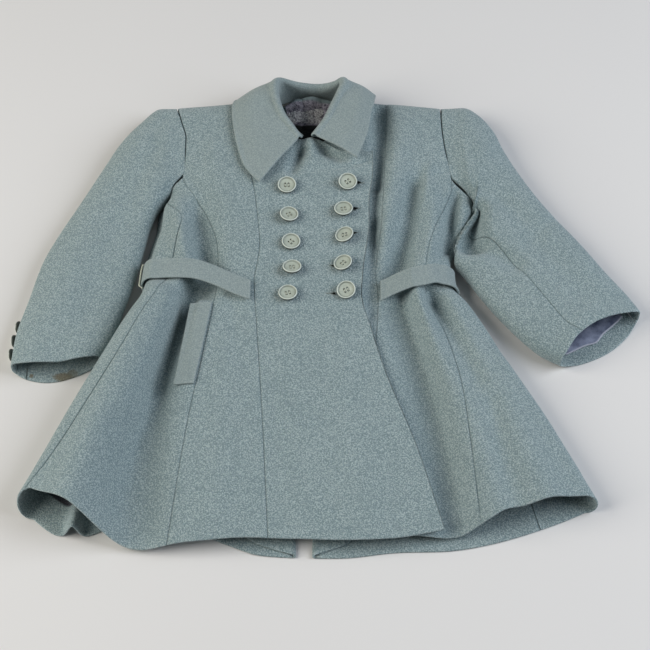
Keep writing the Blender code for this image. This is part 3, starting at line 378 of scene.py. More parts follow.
# The finer creases of both fronts, which the solids leave out.
UPPER_CREASES = [
    Fold("gully by the pocket", -133, 30, -163, -84, 0, 6.5, 9, -18, -14),
    Fold("hollow under the belt", -132, 26, -116, 21, 0, 7, 6, -6, -4),
    Fold("foot of the gully", -167, -98, -196, -215, 0, 10, 15, -8, -5),
    Fold("roll by the gully", -149, 4, -186, -116, 0, 10, 14, 9, 7),
    Fold("pinch under the belt", -158, 46, -112, 40, 0, 13, 12, -5, -4),
    Fold("flank of the side bulge", -129, 130, -124, 70, 4, 8, 10, -6, -10),
    Fold("crest of the side bulge", -160, 122, -147, 80, -4, 8, 9, 3, 4),
    Fold("hollow under the arm", -172, 132, -168, 108, 0, 7, 8, -7, -6),
    Fold("fullness at the neck", -15, 208, -14, 190, 0, 6.0, 7, 6.0, 2.5),
    Fold("hollow beside it", -26, 198, -34, 174, 0, 5.5, 6.5, -11, -6),
    Fold("hollow on its other side", 1, 199, 14, 189, 0, 6, 7, -9, -4),
    Fold("pull from the collar", -14, 172, 44, 184, 2, 3.0, 3.4, -1.0, -1.6),
    Fold("second pull from the collar", -34, 164, -6, 160, 0, 4, 4, -1.0, -0.5),
    Fold("drag from the first button", -22, 150, 12, 156, -2, 4, 4, -0.8, -0.8),
    Fold("drag from the waist button", -20, 20, 8, 24, 2, 5, 5, -0.9, -0.9),
    Fold("chest drag", -146, 184, -112, 128, 5, 4, 6, -1.4, -1.6),
    Fold("chest fullness", -116, 205, -96, 120, 4, 10, 12, 1.6, 1.2),
    Fold("hollow by the front seam", -92, 22, -84, -60, 2, 8, 12, -2.2, -0.8),
    Fold("skirt swell", -98, -40, -104, -230, 0, 14, 18, 1.6, 2.4),
    Fold("skirt dip", -60, -40, -44, -240, -4, 12, 20, -1.0, -1.8),
    Fold("front edge swell", 14, -20, 40, -230, 3, 14, 22, 1.0, 1.8),
]
LOWER_CREASES = [
    Fold("bodice gully", 97, 168, 73, 62, 3, 8, 9, -4, -8),
    Fold("bodice roll", 109, 180, 87, 54, 3, 6, 7, 2.5, 5),
    Fold("side gully", 135, 146, 127, 84, 2, 4.5, 6, -8, -11),
    Fold("pucker under the arm", 126, 148, 119, 100, 0, 4, 5, 2.5, 3.5),
    Fold("gully under the belt", 77, 26, 114, -200, -6, 7, 10, -8, -4),
    Fold("roll under the belt", 89, 12, 137, -225, -4, 8, 14, 5, 3),
    Fold("gully along the seam", 102, 28, 148, -82, -4, 6, 9, -7, -3),
    Fold("shadow along the overlap", 53, 258, 50, 166, 0, 6, 6, -3, -2),
    Fold("its fading end", 51, 152, 48, 84, 0, 8, 7, -8, -3),
    Fold("armhole pull", 124, 176, 108, 168, 0, 3, 3, -1.2, -0.8),
    Fold("chest swell", 86, 236, 78, 170, 0, 12, 12, 1.6, 1.2),
    Fold("skirt swell", 176, -60, 212, -240, 4, 12, 20, 2, 4),
    Fold("skirt dip", 160, -110, 184, -250, 3, 9, 14, -3, -4),
]


def front_height(x, y, layer):
    """The height of the front's outer side at each place."""
    across = across_body(x, y)
    edge = np.where(across < 0, RING["left_edge"](y), RING["right_edge"](y))
    base = mix(RING["crown"](y), edge, abs(across) ** 5)
    height = base + folded(UPPER_FOLDS, x, y) + folded(UPPER_CREASES, x, y)
    if layer == "lower":
        lower = base - UNDERLAP_DROP + folded(LOWER_FOLDS, x, y) + folded(LOWER_CREASES, x, y)
        hidden = np.minimum(lower, height - UNDERLAP_DROP)
        height = mix(hidden, lower, smoothstep((x - OVERLAP(y) - 1.0) / 8.0))
    # The deepest troughs come to rest on the back.
    over = height - back_height(x, y) - 2.0 * CREPE_THICK - 2.0
    height = height + 0.5 * (np.sqrt(over * over + 9.0) - over)
    to_shoulder = (SHOULDER_Y + SHOULDER(x) - y) / 26.0
    return np.where(to_shoulder < 1.0, mix(SHOULDER_Z, height, quarter_turn(to_shoulder)), height)


def hem_shift(layer, x, ring_y):
    share = np.clip(ring_y / HEM_Y, 0.0, 1.0) ** 1.4
    return share * HEMS[layer](across_body(x, ring_y))


def row_height(v, rows, top=None):
    """The ring height at share v of the way up the rows. top stands in for the last row's height."""
    rows = np.array(rows, float)
    place = np.clip(v, 0.0, 1.0) * (len(rows) - 1)
    i = np.clip(place.astype(int), 0, len(rows) - 2)
    after = rows[i + 1] if top is None else np.where(i == len(rows) - 2, top, rows[i + 1])
    return mix(rows[i], after, place - i)


def fine_shares(rows, step):
    """Shares of the way up the rows, about step apart on the cloth."""
    shares = [0.0]
    for i, (low, high) in enumerate(zip(rows, rows[1:])):
        cells = max(1, round(abs(high - low) / step))
        shares += [(i + (k + 1) / cells) / (len(rows) - 1) for k in range(cells)]
    return np.array(shares)


def unit(vectors):
    return vectors / np.maximum(np.linalg.norm(vectors, axis=-1, keepdims=True), 1e-9)


RIM_TURNS = [math.radians(angle) for angle in (60, 30, 0, -30, -60)]
SEWN_ROUNDING = 0.35
SEAM_DIP, SEAM_DIP_WIDTH = 0.3, 1.8


def toward_seams(count):
    """Shares across a piece, closer together near both of its seams."""
    close = np.array([0.1, 0.25, 0.5]) / (count - 1.0)
    return np.concatenate([[0.0], close, np.linspace(0.0, 1.0, count)[1:-1], 1.0 - close[::-1], [1.0]])


def in_frame(points):
    """Points of the tables in metres, in the frame of the solids."""
    return (np.array(points) - [MIDDLE[0], MIDDLE[1], 0.0]) * MM


def cloth(name, u, v, place, thick=CREPE_THICK, outer=0.0, way=1.0, sewn=(), flush=()):
    """One cut piece: its outer side, its inner side and a rim round its cut edge.

    u and v are the shares across and along it, and place gives points of the surface that it lies on. Its
    outer side stands outer off that surface. way is -1 where u and v run the other way round. The rim is
    rounded, but nearly square on the sides named in sewn, where the cloth also dips into the seam, and on
    those named in flush, where the seam hardly shows.
    """
    across, along = np.meshgrid(u, v, indexing="ij")
    points = place(across, along)
    step_u = unit(np.gradient(points, axis=0))
    step_v = unit(np.gradient(points, axis=1))
    normals = unit(np.cross(step_u, step_v)) * way
    # How far each point is from the four sides, along the cloth.
    steps = [np.linalg.norm(np.diff(points, axis=axis), axis=-1) for axis in (0, 1)]
    in_u = np.concatenate([np.zeros((1, len(v))), steps[0]]).cumsum(0)
    in_v = np.concatenate([np.zeros((len(u), 1)), steps[1]], 1).cumsum(1)
    from_sides = {"left": in_u, "right": in_u[-1:] - in_u, "foot": in_v, "head": in_v[:, -1:] - in_v}
    far = np.full(in_u.shape, 99.0)
    cut_sides = [side for side in from_sides if side not in [*sewn, *flush]]
    from_seam = np.minimum.reduce([far] + [from_sides[side] for side in sewn])
    from_edge = np.minimum.reduce([far] + [from_sides[side] for side in cut_sides])
    points = points - normals * (SEAM_DIP * np.exp(-((from_seam / SEAM_DIP_WIDTH) ** 2)))[..., None]
    wide, long = len(u), len(v)
    rim = [(i, 0) for i in range(wide)] + [(wide - 1, j) for j in range(1, long)]
    rim += [(i, long - 1) for i in range(wide - 2, -1, -1)] + [(0, j) for j in range(long - 2, 0, -1)]
    rim_i, rim_j = np.array(rim).T
    on_side = {"left": rim_i == 0, "right": rim_i == wide - 1, "foot": rim_j == 0, "head": rim_j == long - 1}
    radius = thick / 2.0
    rounding = np.full(len(rim), radius)
    for side in [*sewn, *flush]:
        rounding[on_side[side]] = SEWN_ROUNDING
    rounding = rounding[:, None]
    outward = np.zeros((len(rim), 3))
    for side, way_out, step in (("left", -1.0, step_u), ("right", 1.0, step_u), ("foot", -1.0, step_v),
                                ("head", 1.0, step_v)):
        outward += np.where(on_side[side], way_out, 0.0)[:, None] * step[rim_i, rim_j]
    points[rim_i, rim_j] -= outward * rounding
    outward = unit(outward) * np.where(np.linalg.norm(outward, axis=1, keepdims=True) > 1.2, 1.25, 1.0)
    top = points + normals * outer
    under = points + normals * (outer - thick)
    middle = (points + normals * (outer - radius))[rim_i, rim_j]
    loops = [middle + outward * rounding * math.cos(turn)
             + normals[rim_i, rim_j] * (np.sign(turn) * (radius - rounding) + rounding * math.sin(turn))
             for turn in RIM_TURNS]
    corners = np.concatenate([top.reshape(-1, 3), under.reshape(-1, 3), *loops])
    # No cloth goes through the table.
    corners[:, 2] = np.maximum(corners[:, 2], 0.0)
    number = np.arange(wide * long).reshape(wide, long)
    quads = np.stack([number[:-1, :-1], number[1:, :-1], number[1:, 1:], number[:-1, 1:]], -1).reshape(-1, 4)
    faces = [quads, quads[:, ::-1] + wide * long]
    first = number[rim_i, rim_j]
    chains = [first] + [2 * wide * long + k * len(rim) + np.arange(len(rim)) for k in range(len(loops))]
    chains.append(first + wide * long)
    for upper, lower in zip(chains, chains[1:]):
        faces.append(np.stack([upper, lower, np.roll(lower, -1), np.roll(upper, -1)], -1))
    faces = np.concatenate(faces)
    a, b, c, d = (corners[faces[:, k]] for k in range(4))
    if (np.cross(b - a, c - a) * a + np.cross(c - a, d - a) * a).sum() < 0.0:
        faces = faces[:, ::-1]
    mesh = bpy.data.meshes.new(name)
    mesh.from_pydata(in_frame(corners).tolist(), [], faces.tolist())
    mesh.shade_smooth()
    # The distances are kept in metres, for the pressed edges and the painted shade in the seams. The inner
    # side is marked where the lining of the body starts past the hem, painted near-black as painted shade for
    # the dark inside of the coat.
    on_rim = np.zeros(len(loops) * len(rim))
    lined_and_shaded = 0.0 if "sleeve" in name or "collar" in name else 1.0
    kept = {"inner": np.concatenate([np.zeros(wide * long), np.full(wide * long, lined_and_shaded), on_rim])}
    for kind, distance in (("from_edge", from_edge), ("from_seam", from_seam)):
        round_rim = np.tile(distance[rim_i, rim_j], len(loops))
        kept[kind] = np.concatenate([distance.ravel(), distance.ravel(), round_rim]) * MM
    for kind, values in kept.items():
        mesh.attributes.new(kind, "FLOAT", "POINT").data.foreach_set("value", values.astype(np.float32))
    return put(name, mesh)


def crepe_finish(name, dark, light, pebbling, marks=()):
    """Matt wool crepe: pebbled by its twisted threads, with slightly uneven dye and a soft bloom of fibre.
    marks are stains and seam lines, each an oval on the cloth."""
    crepe = Finish(name, Roughness=0.92, Specular_IOR_Level=0.25, Sheen_Weight=0.3, Sheen_Roughness=0.55,
                   Sheen_Tint=(0.82, 0.88, 0.87, 1.0))
    bent = crepe.node("ShaderNodeVectorMath", {"operation": "MULTIPLY_ADD"},
                      {0: crepe.noise(0.0022, 1.0, output="Color"), 1: (0.0011,) * 3, 2: crepe.where()})
    pebbles = crepe.node("ShaderNodeTexVoronoi", {"feature": "SMOOTH_F1"},
                         {"Vector": bent, "Scale": 545.0, "Smoothness": 0.1, "Randomness": 0.85}, "Distance")
    crinkle = crepe.noise(0.00105, 0.0, 0.5, bent)
    fine = crepe.noise(0.0007, 1.0, 0.5)
    height = (1.0 - pebbles.between(0.15, 0.62)) * 0.55 + crinkle.between(0.40, 0.60) * 0.45
    shade = (height - 0.45) * (1.25 * pebbling) + (fine - 0.5) * (0.6 * pebbling) + 0.5
    shade = shade + (crepe.noise(0.055, 3.0, 0.55) - 0.5) * 0.2
    # Cut edges are worn a little lighter, and the cloth by the seams is darkened with painted shade.
    edge, seam = crepe.painted("from_edge"), crepe.painted("from_seam")
    shade = shade + (1.0 - edge.between(0.0006, 0.003)) * 0.07
    seam_dip_and_shade = (1.0 - seam.between(0.0002, 0.0011)) * (0.35 + 0.35 * crepe.noise(0.005, 1.0))
    shade = shade - seam_dip_and_shade * 0.55
    colour = crepe.blend(dark, light, shade.between(0.0, 1.0))
    # Inside, past the hem's turning, the lining starts, painted near-black: painted shade for the dark inside
    # of the coat.
    past_turning = edge.between(HEM_TURNING * MM, (HEM_TURNING + 3.0) * MM)
    colour = crepe.blend(colour, (0.022, 0.024, 0.036), crepe.painted("inner") * past_turning)
    for mark in marks:
        middle = [-(mark.x - MIDDLE[0]) / mark.wide, -(mark.y - MIDDLE[1]) / mark.long, 0.0]
        oval = crepe.node("ShaderNodeVectorMath", {"operation": "MULTIPLY_ADD"},
                          {0: crepe.where(), 1: (1000.0 / mark.wide, 1000.0 / mark.long, 0.0), 2: middle})
        away = crepe.node("ShaderNodeVectorMath", {"operation": "LENGTH"}, {0: oval}, "Value")
        spread = 1.0 - (away + (crepe.noise(0.006, 3.0, 0.6) - 0.5) * mark.ragged).between(0.55, 1.1)
        colour = crepe.blend(colour, mark.colour, spread * mark.strength)
    crepe.give("Base Color", colour)
    crepe.give("Roughness", 0.86 + fine * 0.1)
    crepe.raise_by(height * pebbling + fine * 0.3 - seam_dip_and_shade * 0.5, 0.00062, 0.9)
    return crepe


CREPE_DARK, CREPE_LIGHT = (0.172, 0.241, 0.258), (0.388, 0.474, 0.487)
crepe = crepe_finish("crepe", CREPE_DARK, CREPE_LIGHT, 1.0)
pressed = crepe_finish("pressed_crepe", (0.185, 0.240, 0.246), (0.345, 0.410, 0.412), 0.4)


def wear(piece, finish, slot, *nodes):
    """Gives a piece its finish, and puts it in place of its solids."""
    piece.data.materials.append(finish.material)
    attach(piece, "root")
    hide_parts(*nodes)


def front_piece(name, columns, left, right, layer, neck, sewn=(), flush=()):
    """A front piece from the hem to the shoulder, between two seams or edges."""

    def place(u, v):
        ring_y = row_height(v, ROWS)
        x = mix(left(ring_y) + SEAM_SHARE, right(ring_y) - SEAM_SHARE, u)
        top_x = mix(left(SHOULDER_Y), right(SHOULDER_Y), u)
        top_y = NECKS[layer](top_x) if neck else SHOULDER_Y + SHOULDER(top_x)
        y = ring_y + hem_shift(layer, x, ring_y) + raised(ring_y, top_y)
        return np.stack([x, y, front_height(x, y, layer)], -1)

    return cloth(name, toward_seams(columns), fine_shares(ROWS, 3.0), place, sewn=sewn, flush=flush)


overlap = front_piece("overlap_cloth", 54, RIGHT_FRONT, OVERLAP, "upper", True, ["left"])
wear(overlap, crepe, "crepe", "front_right_overlap")

# The front beside it, sewn to it in a long seam and shaped to the figure: crepe.
RIGHT_PRINCESS_SEAM = [
    SeamRow(262, -157), SeamRow(237, -151), SeamRow(212, -145), SeamRow(188, -145), SeamRow(165, -147),
    SeamRow(144, -136), SeamRow(120, -122), SeamRow(90, -111), SeamRow(60, -108), SeamRow(20, -110),
    SeamRow(-38, -118), SeamRow(-119, -131), SeamRow(-256, -147),
]
RIGHT_PRINCESS = Line([(row.y, row.x) for row in RIGHT_PRINCESS_SEAM])
right_front = front_piece("right_front_cloth", 32, RIGHT_PRINCESS, RIGHT_FRONT, "upper", False,
                          ["left", "right"])
wear(right_front, crepe, "crepe", "front_right")

# The wearer's left front: the underlap, which the other front hides, and the piece beside it. Both are
# crepe and lie a little lower, with deep folds that run down from the half belt.
UNDERLAP_EDGE = [
    SeamRow(262, -62), SeamRow(100, -58), SeamRow(20, -51), SeamRow(-67, -72), SeamRow(-256, -126),
]
LEFT_FRONT_SEAM = [
    SeamRow(262, 66), SeamRow(180, 62), SeamRow(100, 57), SeamRow(48, 51), SeamRow(20, 53),
    SeamRow(-40, 50), SeamRow(-256, 39),
]
LEFT_PRINCESS_SEAM = [
    SeamRow(262, 122), SeamRow(223, 123), SeamRow(196, 126), SeamRow(175, 130), SeamRow(155, 131),
    SeamRow(133, 124), SeamRow(103, 112), SeamRow(60, 102), SeamRow(26, 101), SeamRow(-18, 117),
    SeamRow(-74, 129), SeamRow(-162, 138), SeamRow(-256, 145),
]
UNDERLAP = Line([(row.y, row.x) for row in UNDERLAP_EDGE])
LEFT_FRONT = Line([(row.y, row.x) for row in LEFT_FRONT_SEAM])
LEFT_PRINCESS = Line([(row.y, row.x) for row in LEFT_PRINCESS_SEAM])
underlap = front_piece("underlap_cloth", 50, UNDERLAP, LEFT_FRONT, "lower", True, flush=["right"])
wear(underlap, crepe, "crepe", "front_left_underlap")
left_front = front_piece("left_front_cloth", 38, LEFT_FRONT, LEFT_PRINCESS, "lower", False,
                         ["right"], ["left"])
wear(left_front, crepe, "crepe", "front_left")

# The side fronts: crepe, cut to a point under the arm. Each is turned round the side of the laid coat, the
# wearer's left one as far as its seam underneath.
SideRow = namedtuple("SideRow", "y turned")
TURN_STEP = 24.0
RIGHT_SIDE = [
    SideRow(150, 0.5), SideRow(132, 0.1), SideRow(112, -0.5), SideRow(92, -0.6), SideRow(52, -0.62),
    SideRow(12, -0.32), SideRow(-60, -0.35), SideRow(-160, -0.2), SideRow(-256, 0.1),
]
LEFT_SIDE = [SideRow(150, 1.2), SideRow(92, 1.2), SideRow(32, 1.4), SideRow(-60, 1.8), SideRow(-256, 2.8)]
TopRow = namedtuple("TopRow", "share y")
LEFT_SIDE_TOP = [
    TopRow(0, 165), TopRow(0.1, 161.5), TopRow(0.2, 157.7), TopRow(0.3, 154), TopRow(0.4, 150.2),
    TopRow(0.5, 145), TopRow(0.65, 143), TopRow(0.8, 145), TopRow(1, 150),
]
SIDE_TOP = Line(LEFT_SIDE_TOP)
SIDES = {"left": Line(RIGHT_SIDE), "right": Line(LEFT_SIDE)}


def edge_start(ring_y, side):
    """Where a turned edge starts, and how far out of there it reaches."""
    reach = 0.42 * RING[side + "_edge"](ring_y)
    silhouette = RING[side + "_x"](ring_y)
    return (silhouette + reach, reach) if side == "left" else (silhouette - reach, reach)


def turned_place(x, ring_y, side):
    """The place round the turned edge of a point on the front, given its x."""
    start = edge_start(ring_y, side)[0]
    return ((start - x) if side == "left" else (x - start)) / TURN_STEP


def edge_curve(t, start, reach, top, low, slope):
    """(x, height) round a turned edge: it leaves the front on the front's own slope."""
    pull = reach / 0.75
    a, b = (1 - t) ** 3, 3 * t * (1 - t) ** 2
    c, d = 3 * t**2 * (1 - t), t**3
    height = a * top + b * (top + np.clip(slope * abs(pull), -4.0, 8.0)) + (c + d) * low
    return start + (b + c) * pull, height


def foot_flare(t, ring_y, side):
    """How far the cloth at the foot of the wearer's right side spreads out on the table, by the sleeve."""
    if side == "right":
        return 0.0 * t
    by_sleeve = smoothstep((152.0 - ring_y) / 12.0) * smoothstep((ring_y + 34.0) / 30.0)
    clear_of_belt = 1.0 - smoothstep((25.0 - abs(ring_y - 46.0)) / 8.0)
    return by_sleeve * clear_of_belt * np.sin(math.pi * np.clip((t - 0.5) / 0.5, 0.0, 1.0)) ** 1.5


def body_point(turned, ring_y, side, layer, depth=0.0):
    """Points of the body, at depth under its outer side, from their places round a turned edge."""
    start, reach = edge_start(ring_y, side)
    out = -1.0 if side == "left" else 1.0
    rise = raised(ring_y, SHOULDER_Y + SHOULDER(-157.0 if side == "left" else 122.0))
    front_x = start + out * TURN_STEP * np.minimum(turned, 0.0)
    front_y = ring_y + hem_shift(layer, front_x, ring_y) + rise
    on_front = np.stack([front_x, front_y, front_height(front_x, front_y, layer) - depth], -1)
    back_x = start - out * TURN_STEP * np.maximum(turned - 1.0, 0.0)
    back_y = ring_y + hem_shift("back", back_x, ring_y) + rise
    on_back = np.stack([back_x, back_y, back_height(back_x, back_y) + depth], -1)
    start_y = ring_y + hem_shift(layer, start, ring_y) + rise
    end_y = ring_y + hem_shift("back", start, ring_y) + rise
    top = front_height(start, start_y, layer)
    slope = top - front_height(start - out, start_y, layer)
    low = back_height(start, end_y)
    t = np.clip(turned, 0.0, 1.0)
    x, z = edge_curve(t, start, out * (reach - depth), top - depth, low + depth, slope)
    flare = foot_flare(t, ring_y, side)
    x, z = x + out * 8.0 * flare, mix(z, low + depth + 1.0, 0.7 * flare)
    round_edge = np.stack([x, mix(start_y, end_y, smoothstep(t)), z], -1)
    turned = turned[..., None]
    return np.where(turned <= 0.0, on_front, np.where(turned >= 1.0, on_back, round_edge))


def right_side_front(u, v):
    ring_y = row_height(v, ROWS[:17], mix(152.0, 165.0, u))
    seam = turned_place(RIGHT_PRINCESS(ring_y) - SEAM_SHARE, ring_y, "left")
    side = SIDES["left"](ring_y) - SEAM_SHARE / TURN_STEP - 0.04 * np.clip((ring_y - 132.0) / 20.0, 0.0, 1.0)
    return body_point(mix(side, seam, u), ring_y, "left", "upper")


def left_side_front(u, v):
    ring_y = row_height(v, ROWS[:16], SIDE_TOP(u))
    seam = turned_place(LEFT_PRINCESS(ring_y) + SEAM_SHARE, ring_y, "right")
    side = SIDES["right"](ring_y)
    turned = np.where(u < 0.4, seam * (1.0 - u / 0.4), mix(0.0, side, (u - 0.4) / 0.6))
    return body_point(turned, ring_y, "right", "lower")


right_side = cloth("right_side_cloth", toward_seams(48), fine_shares(ROWS[:17], 3.0), right_side_front,
                   sewn=["left", "right"])
wear(right_side, crepe, "crepe", "side_front_right")
left_side = cloth("left_side_cloth", toward_seams(66), fine_shares(ROWS[:16], 3.0), left_side_front,
                  sewn=["left", "right"])
wear(left_side, crepe, "crepe", "side_front_left")

# The back: one piece of crepe with an inverted pleat from the waist to the hem. It lies flat on the table
# and comes up round the wearer's right side to the seam on the front.
PleatRow = namedtuple("PleatRow", "x z")
PLEAT = [
    PleatRow(-94, 1.0), PleatRow(-60, 1.0), PleatRow(-29.2, 1.0), PleatRow(-28, 2.2), PleatRow(-29.2, 3.4),
    PleatRow(-54, 3.4), PleatRow(-77.8, 3.4), PleatRow(-79, 4.6), PleatRow(-77.8, 5.8), PleatRow(-45, 5.8),
    PleatRow(-10, 5.8), PleatRow(21.8, 5.8), PleatRow(23, 4.6), PleatRow(21.8, 3.4), PleatRow(4, 3.4),
    PleatRow(-9.8, 3.4), PleatRow(-11, 2.2), PleatRow(-9.8, 1.0), PleatRow(26, 1.0), PleatRow(62, 1.0),
]
# How far the hem of the pleat's underlay is set back from the hem in front of it.
PLEAT_SET_BACK = [0, 0, 0, 0, 2, 8, 15, 17, 18, 18, 18, 17, 16, 14, 7, 2, 0, 0, 0, 0]
PLEAT_TOP_Y = 20.0
RIGHT_ARMHOLE = [
    SeamRow(262, -157), SeamRow(237, -151), SeamRow(212, -145), SeamRow(188, -145), SeamRow(168, -148),
    SeamRow(151, -160),
]
LEFT_ARMHOLE = [
    SeamRow(262, 122), SeamRow(223, 123), SeamRow(196, 126), SeamRow(175, 130), SeamRow(160, 136),
    SeamRow(147, 150),
]
ARMHOLES = {"left": Line(RIGHT_ARMHOLE), "right": Line(LEFT_ARMHOLE)}


def pleat_point(share, ring_y):
    """(x, height, set back) of the middle of the cloth, at a share of the way across the pleat."""
    opened = smoothstep((PLEAT_TOP_Y - ring_y) / (PLEAT_TOP_Y - HEM_Y)) ** 0.6
    place = np.clip(share, 0.0, 1.0) * (len(PLEAT) - 1)
    x, z, set_back = (np.interp(place, range(len(PLEAT)), values)
                      for values in (*zip(*PLEAT), PLEAT_SET_BACK))
    flat_x = mix(PLEAT[0].x, PLEAT[-1].x, share)
    set_back = set_back * np.clip(ring_y / HEM_Y, 0.0, 1.0) ** 2
    return mix(flat_x, x, opened), mix(1.0, z, smoothstep(opened / 0.3)), set_back


def back_middle(x, y, z):
    """(y, height) of the middle of the back's cloth: its shoulders turn up to meet the front."""
    z = z + back_height(x, y)
    turn = 1.0 - quarter_turn((NECKS["back"](x) - y) / 18.0)
    turn = turn * smoothstep((abs(x + 9.0) - 30.0) / 28.0)
    return y - turn, mix(z, SHOULDER_Z - 1.6, turn)


BACK_CELLS = 31.0


def back(u, v):
    """From the left side seam, across the pleat underneath, round the right edge to the right side seam.

    The pleat takes up the cells from 3 to 22, and the cloth beside it those to 24."""
    ring_y = row_height(v, ROWS)
    cell = u * BACK_CELLS
    above = ring_y > 150.5
    start = edge_start(ring_y, "right")[0]
    seam_x = np.where(above, np.minimum(ARMHOLES["right"](ring_y), 138.0),
                      start - TURN_STEP * (SIDES["right"](ring_y) - 1.0))
    armhole = ARMHOLES["left"](ring_y) + 1.6 * smoothstep((186.0 - ring_y) / 20.0)
    end = SIDES["left"](ring_y) + 2.0 * SEAM_SHARE / TURN_STEP
    pleat_x, pleat_z, set_back = pleat_point(1.0 - (cell - 3.0) / 19.0, ring_y)
    inner_x = edge_start(ring_y, "left")[0] + TURN_STEP
    x = np.where(cell <= 3.0, mix(seam_x - 0.4, PLEAT[-1].x, cell / 3.0),
                 np.where(cell <= 22.0, pleat_x,
                          np.where(cell <= 24.0, mix(PLEAT[0].x, inner_x, (cell - 22.0) / 2.0),
                                   mix(inner_x, armhole, (cell - 24.0) / 7.0))))
    z = np.where((cell > 3.0) & (cell <= 22.0), pleat_z, 1.0)
    y = ring_y + hem_shift("back", x, ring_y) + raised(ring_y, NECKS["back"](x))
    y, z = back_middle(x, y + set_back, z)
    flat = np.stack([x, y, z], -1)
    edge = body_point(mix(2.0, end, (cell - 24.0) / 7.0), ring_y, "left", "upper", 1.0)
    return np.where(((cell <= 24.0) | above)[..., None], flat, edge)


back_columns = np.concatenate([np.linspace(0, 3, 14), np.linspace(3, 22, 96)[1:], np.linspace(22, 24, 72)[1:],
                               np.linspace(24, BACK_CELLS, 44)[1:]]) / BACK_CELLS
back_piece = cloth("back_cloth", back_columns, fine_shares(ROWS, 4.0), back, outer=1.0,
                   sewn=["left", "right"])
wear(back_piece, crepe, "crepe", "back")

# The sleeves: a top sleeve and an under sleeve of crepe, joined in two seams and set into the armhole. The
# empty tubes lie flattened, with the cuffs a little open.
SleeveRow = namedtuple("SleeveRow", "outer_x outer_y inner_x inner_y crown seam")
RIGHT_SLEEVE = [
    SleeveRow(-157.5, 268, -158.5, 153.5, 30, 0.56),
    SleeveRow(-176, 266, -165, 144.5, 33, 0.56),
    SleeveRow(-196, 245, -173, 130, 33, 0.56),
    SleeveRow(-215, 219, -179, 112, 30, 0.56),
    SleeveRow(-233, 183, -183, 91, 27, 0.56),
    SleeveRow(-254, 138, -188, 63, 26, 0.56),
    SleeveRow(-272, 100, -194, 36, 26, 0.56),
    SleeveRow(-286, 64, -201, 9, 26, 0.56),
    SleeveRow(-296, 19, -207, -20, 27, 0.56),
    SleeveRow(-305, -21, -213, -38, 28, 0.56),
    SleeveRow(-308, -60, -221, -50, 28, 0.56),
]
LEFT_SLEEVE = [
    SleeveRow(123, 270, 147.5, 149, 30, 0.49),
    SleeveRow(146, 269, 155, 141, 32, 0.465),
    SleeveRow(163, 257, 156, 130, 33, 0.435),
    SleeveRow(178, 235, 146, 112, 32, 0.405),
    SleeveRow(187, 211, 136, 92, 31, 0.36),
    SleeveRow(201, 181, 131, 69, 30, 0.315),
    SleeveRow(220, 146, 143, 47, 30, 0.29),
    SleeveRow(239, 117, 158, 22, 30, 0.286),
    SleeveRow(261, 86, 174, -1, 30, 0.289),
    SleeveRow(284, 50, 194, -26, 30, 0.295),
    SleeveRow(302, 24, 212, -44, 30, 0.302),
    SleeveRow(314, 3, 231, -55, 31, 0.302),
]
# Where the empty left sleeve is pressed flat on the table, as shares of its height.
LEFT_SLEEVE_FLAT = [
    Fold("pit under the arm", 153, 128, 147, 86, 0, 9, 12, 0.84, 0.84),
    Fold("hollow below the pit", 158, 84, 190, 56, 0, 9, 10, 0.34, 0.22),
]
CuffShape = namedtuple("CuffShape", "top under")
RIGHT_CUFF = CuffShape(6, 15)
LEFT_CUFF = CuffShape(-11, 12)
ARMHOLE_TUCK = 2.2
FLATTEST = 0.84
LAYERS_APART = 4.8  # both layers of a sleeve that is pressed flat, and the air between them


def armhole_line(rows):
    """An armhole as it lies, with the shoulder's rise."""
    return Line([(row.y + raised(row.y, SHOULDER_Y + SHOULDER(row.x)), row.x) for row in rows])


LAID_ARMHOLES = {"left": armhole_line(RIGHT_ARMHOLE), "right": armhole_line(LEFT_ARMHOLE)}
RIGHT_SLEEVE_CREASES = [
    Fold("elbow crease", -184, 94, -226, 112, 3, 7, 11, -2.0, -0.8),
    Fold("lower elbow crease", -194, 40, -232, 44, -3, 7, 9, -1.4, -0.7),
    Fold("lengthwise swell", -200, 214, -268, 0, 6, 15, 18, 1.4, 1.8),
    Fold("lengthwise dip", -176, 205, -238, -12, 4, 10, 14, -1.6, -2.0),
    Fold("head crease", -168, 246, -186, 176, 3, 7, 10, -1.3, -0.9),
    Fold("cuff dip", -262, -14, -258, -58, 0, 12, 15, -1.2, -2.6),
]
LEFT_SLEEVE_CREASES = [
    Fold("pull from under the arm", 158, 150, 214, 98, -4, 8, 12, -2.6, -1.2),
    Fold("head crease", 140, 250, 158, 184, 4, 8, 10, -1.5, -1.0),
    Fold("lengthwise swell", 168, 196, 272, 34, -5, 14, 17, 1.6, 1.6),
    Fold("lengthwise dip", 182, 140, 258, 20, 5, 9, 13, -1.2, -1.8),
    Fold("elbow crease", 236, 118, 206, 78, 3, 6, 9, -1.4, -0.8),
    Fold("cuff swell", 268, -2, 246, -38, 0, 12, 13, 1.0, 2.0),
]


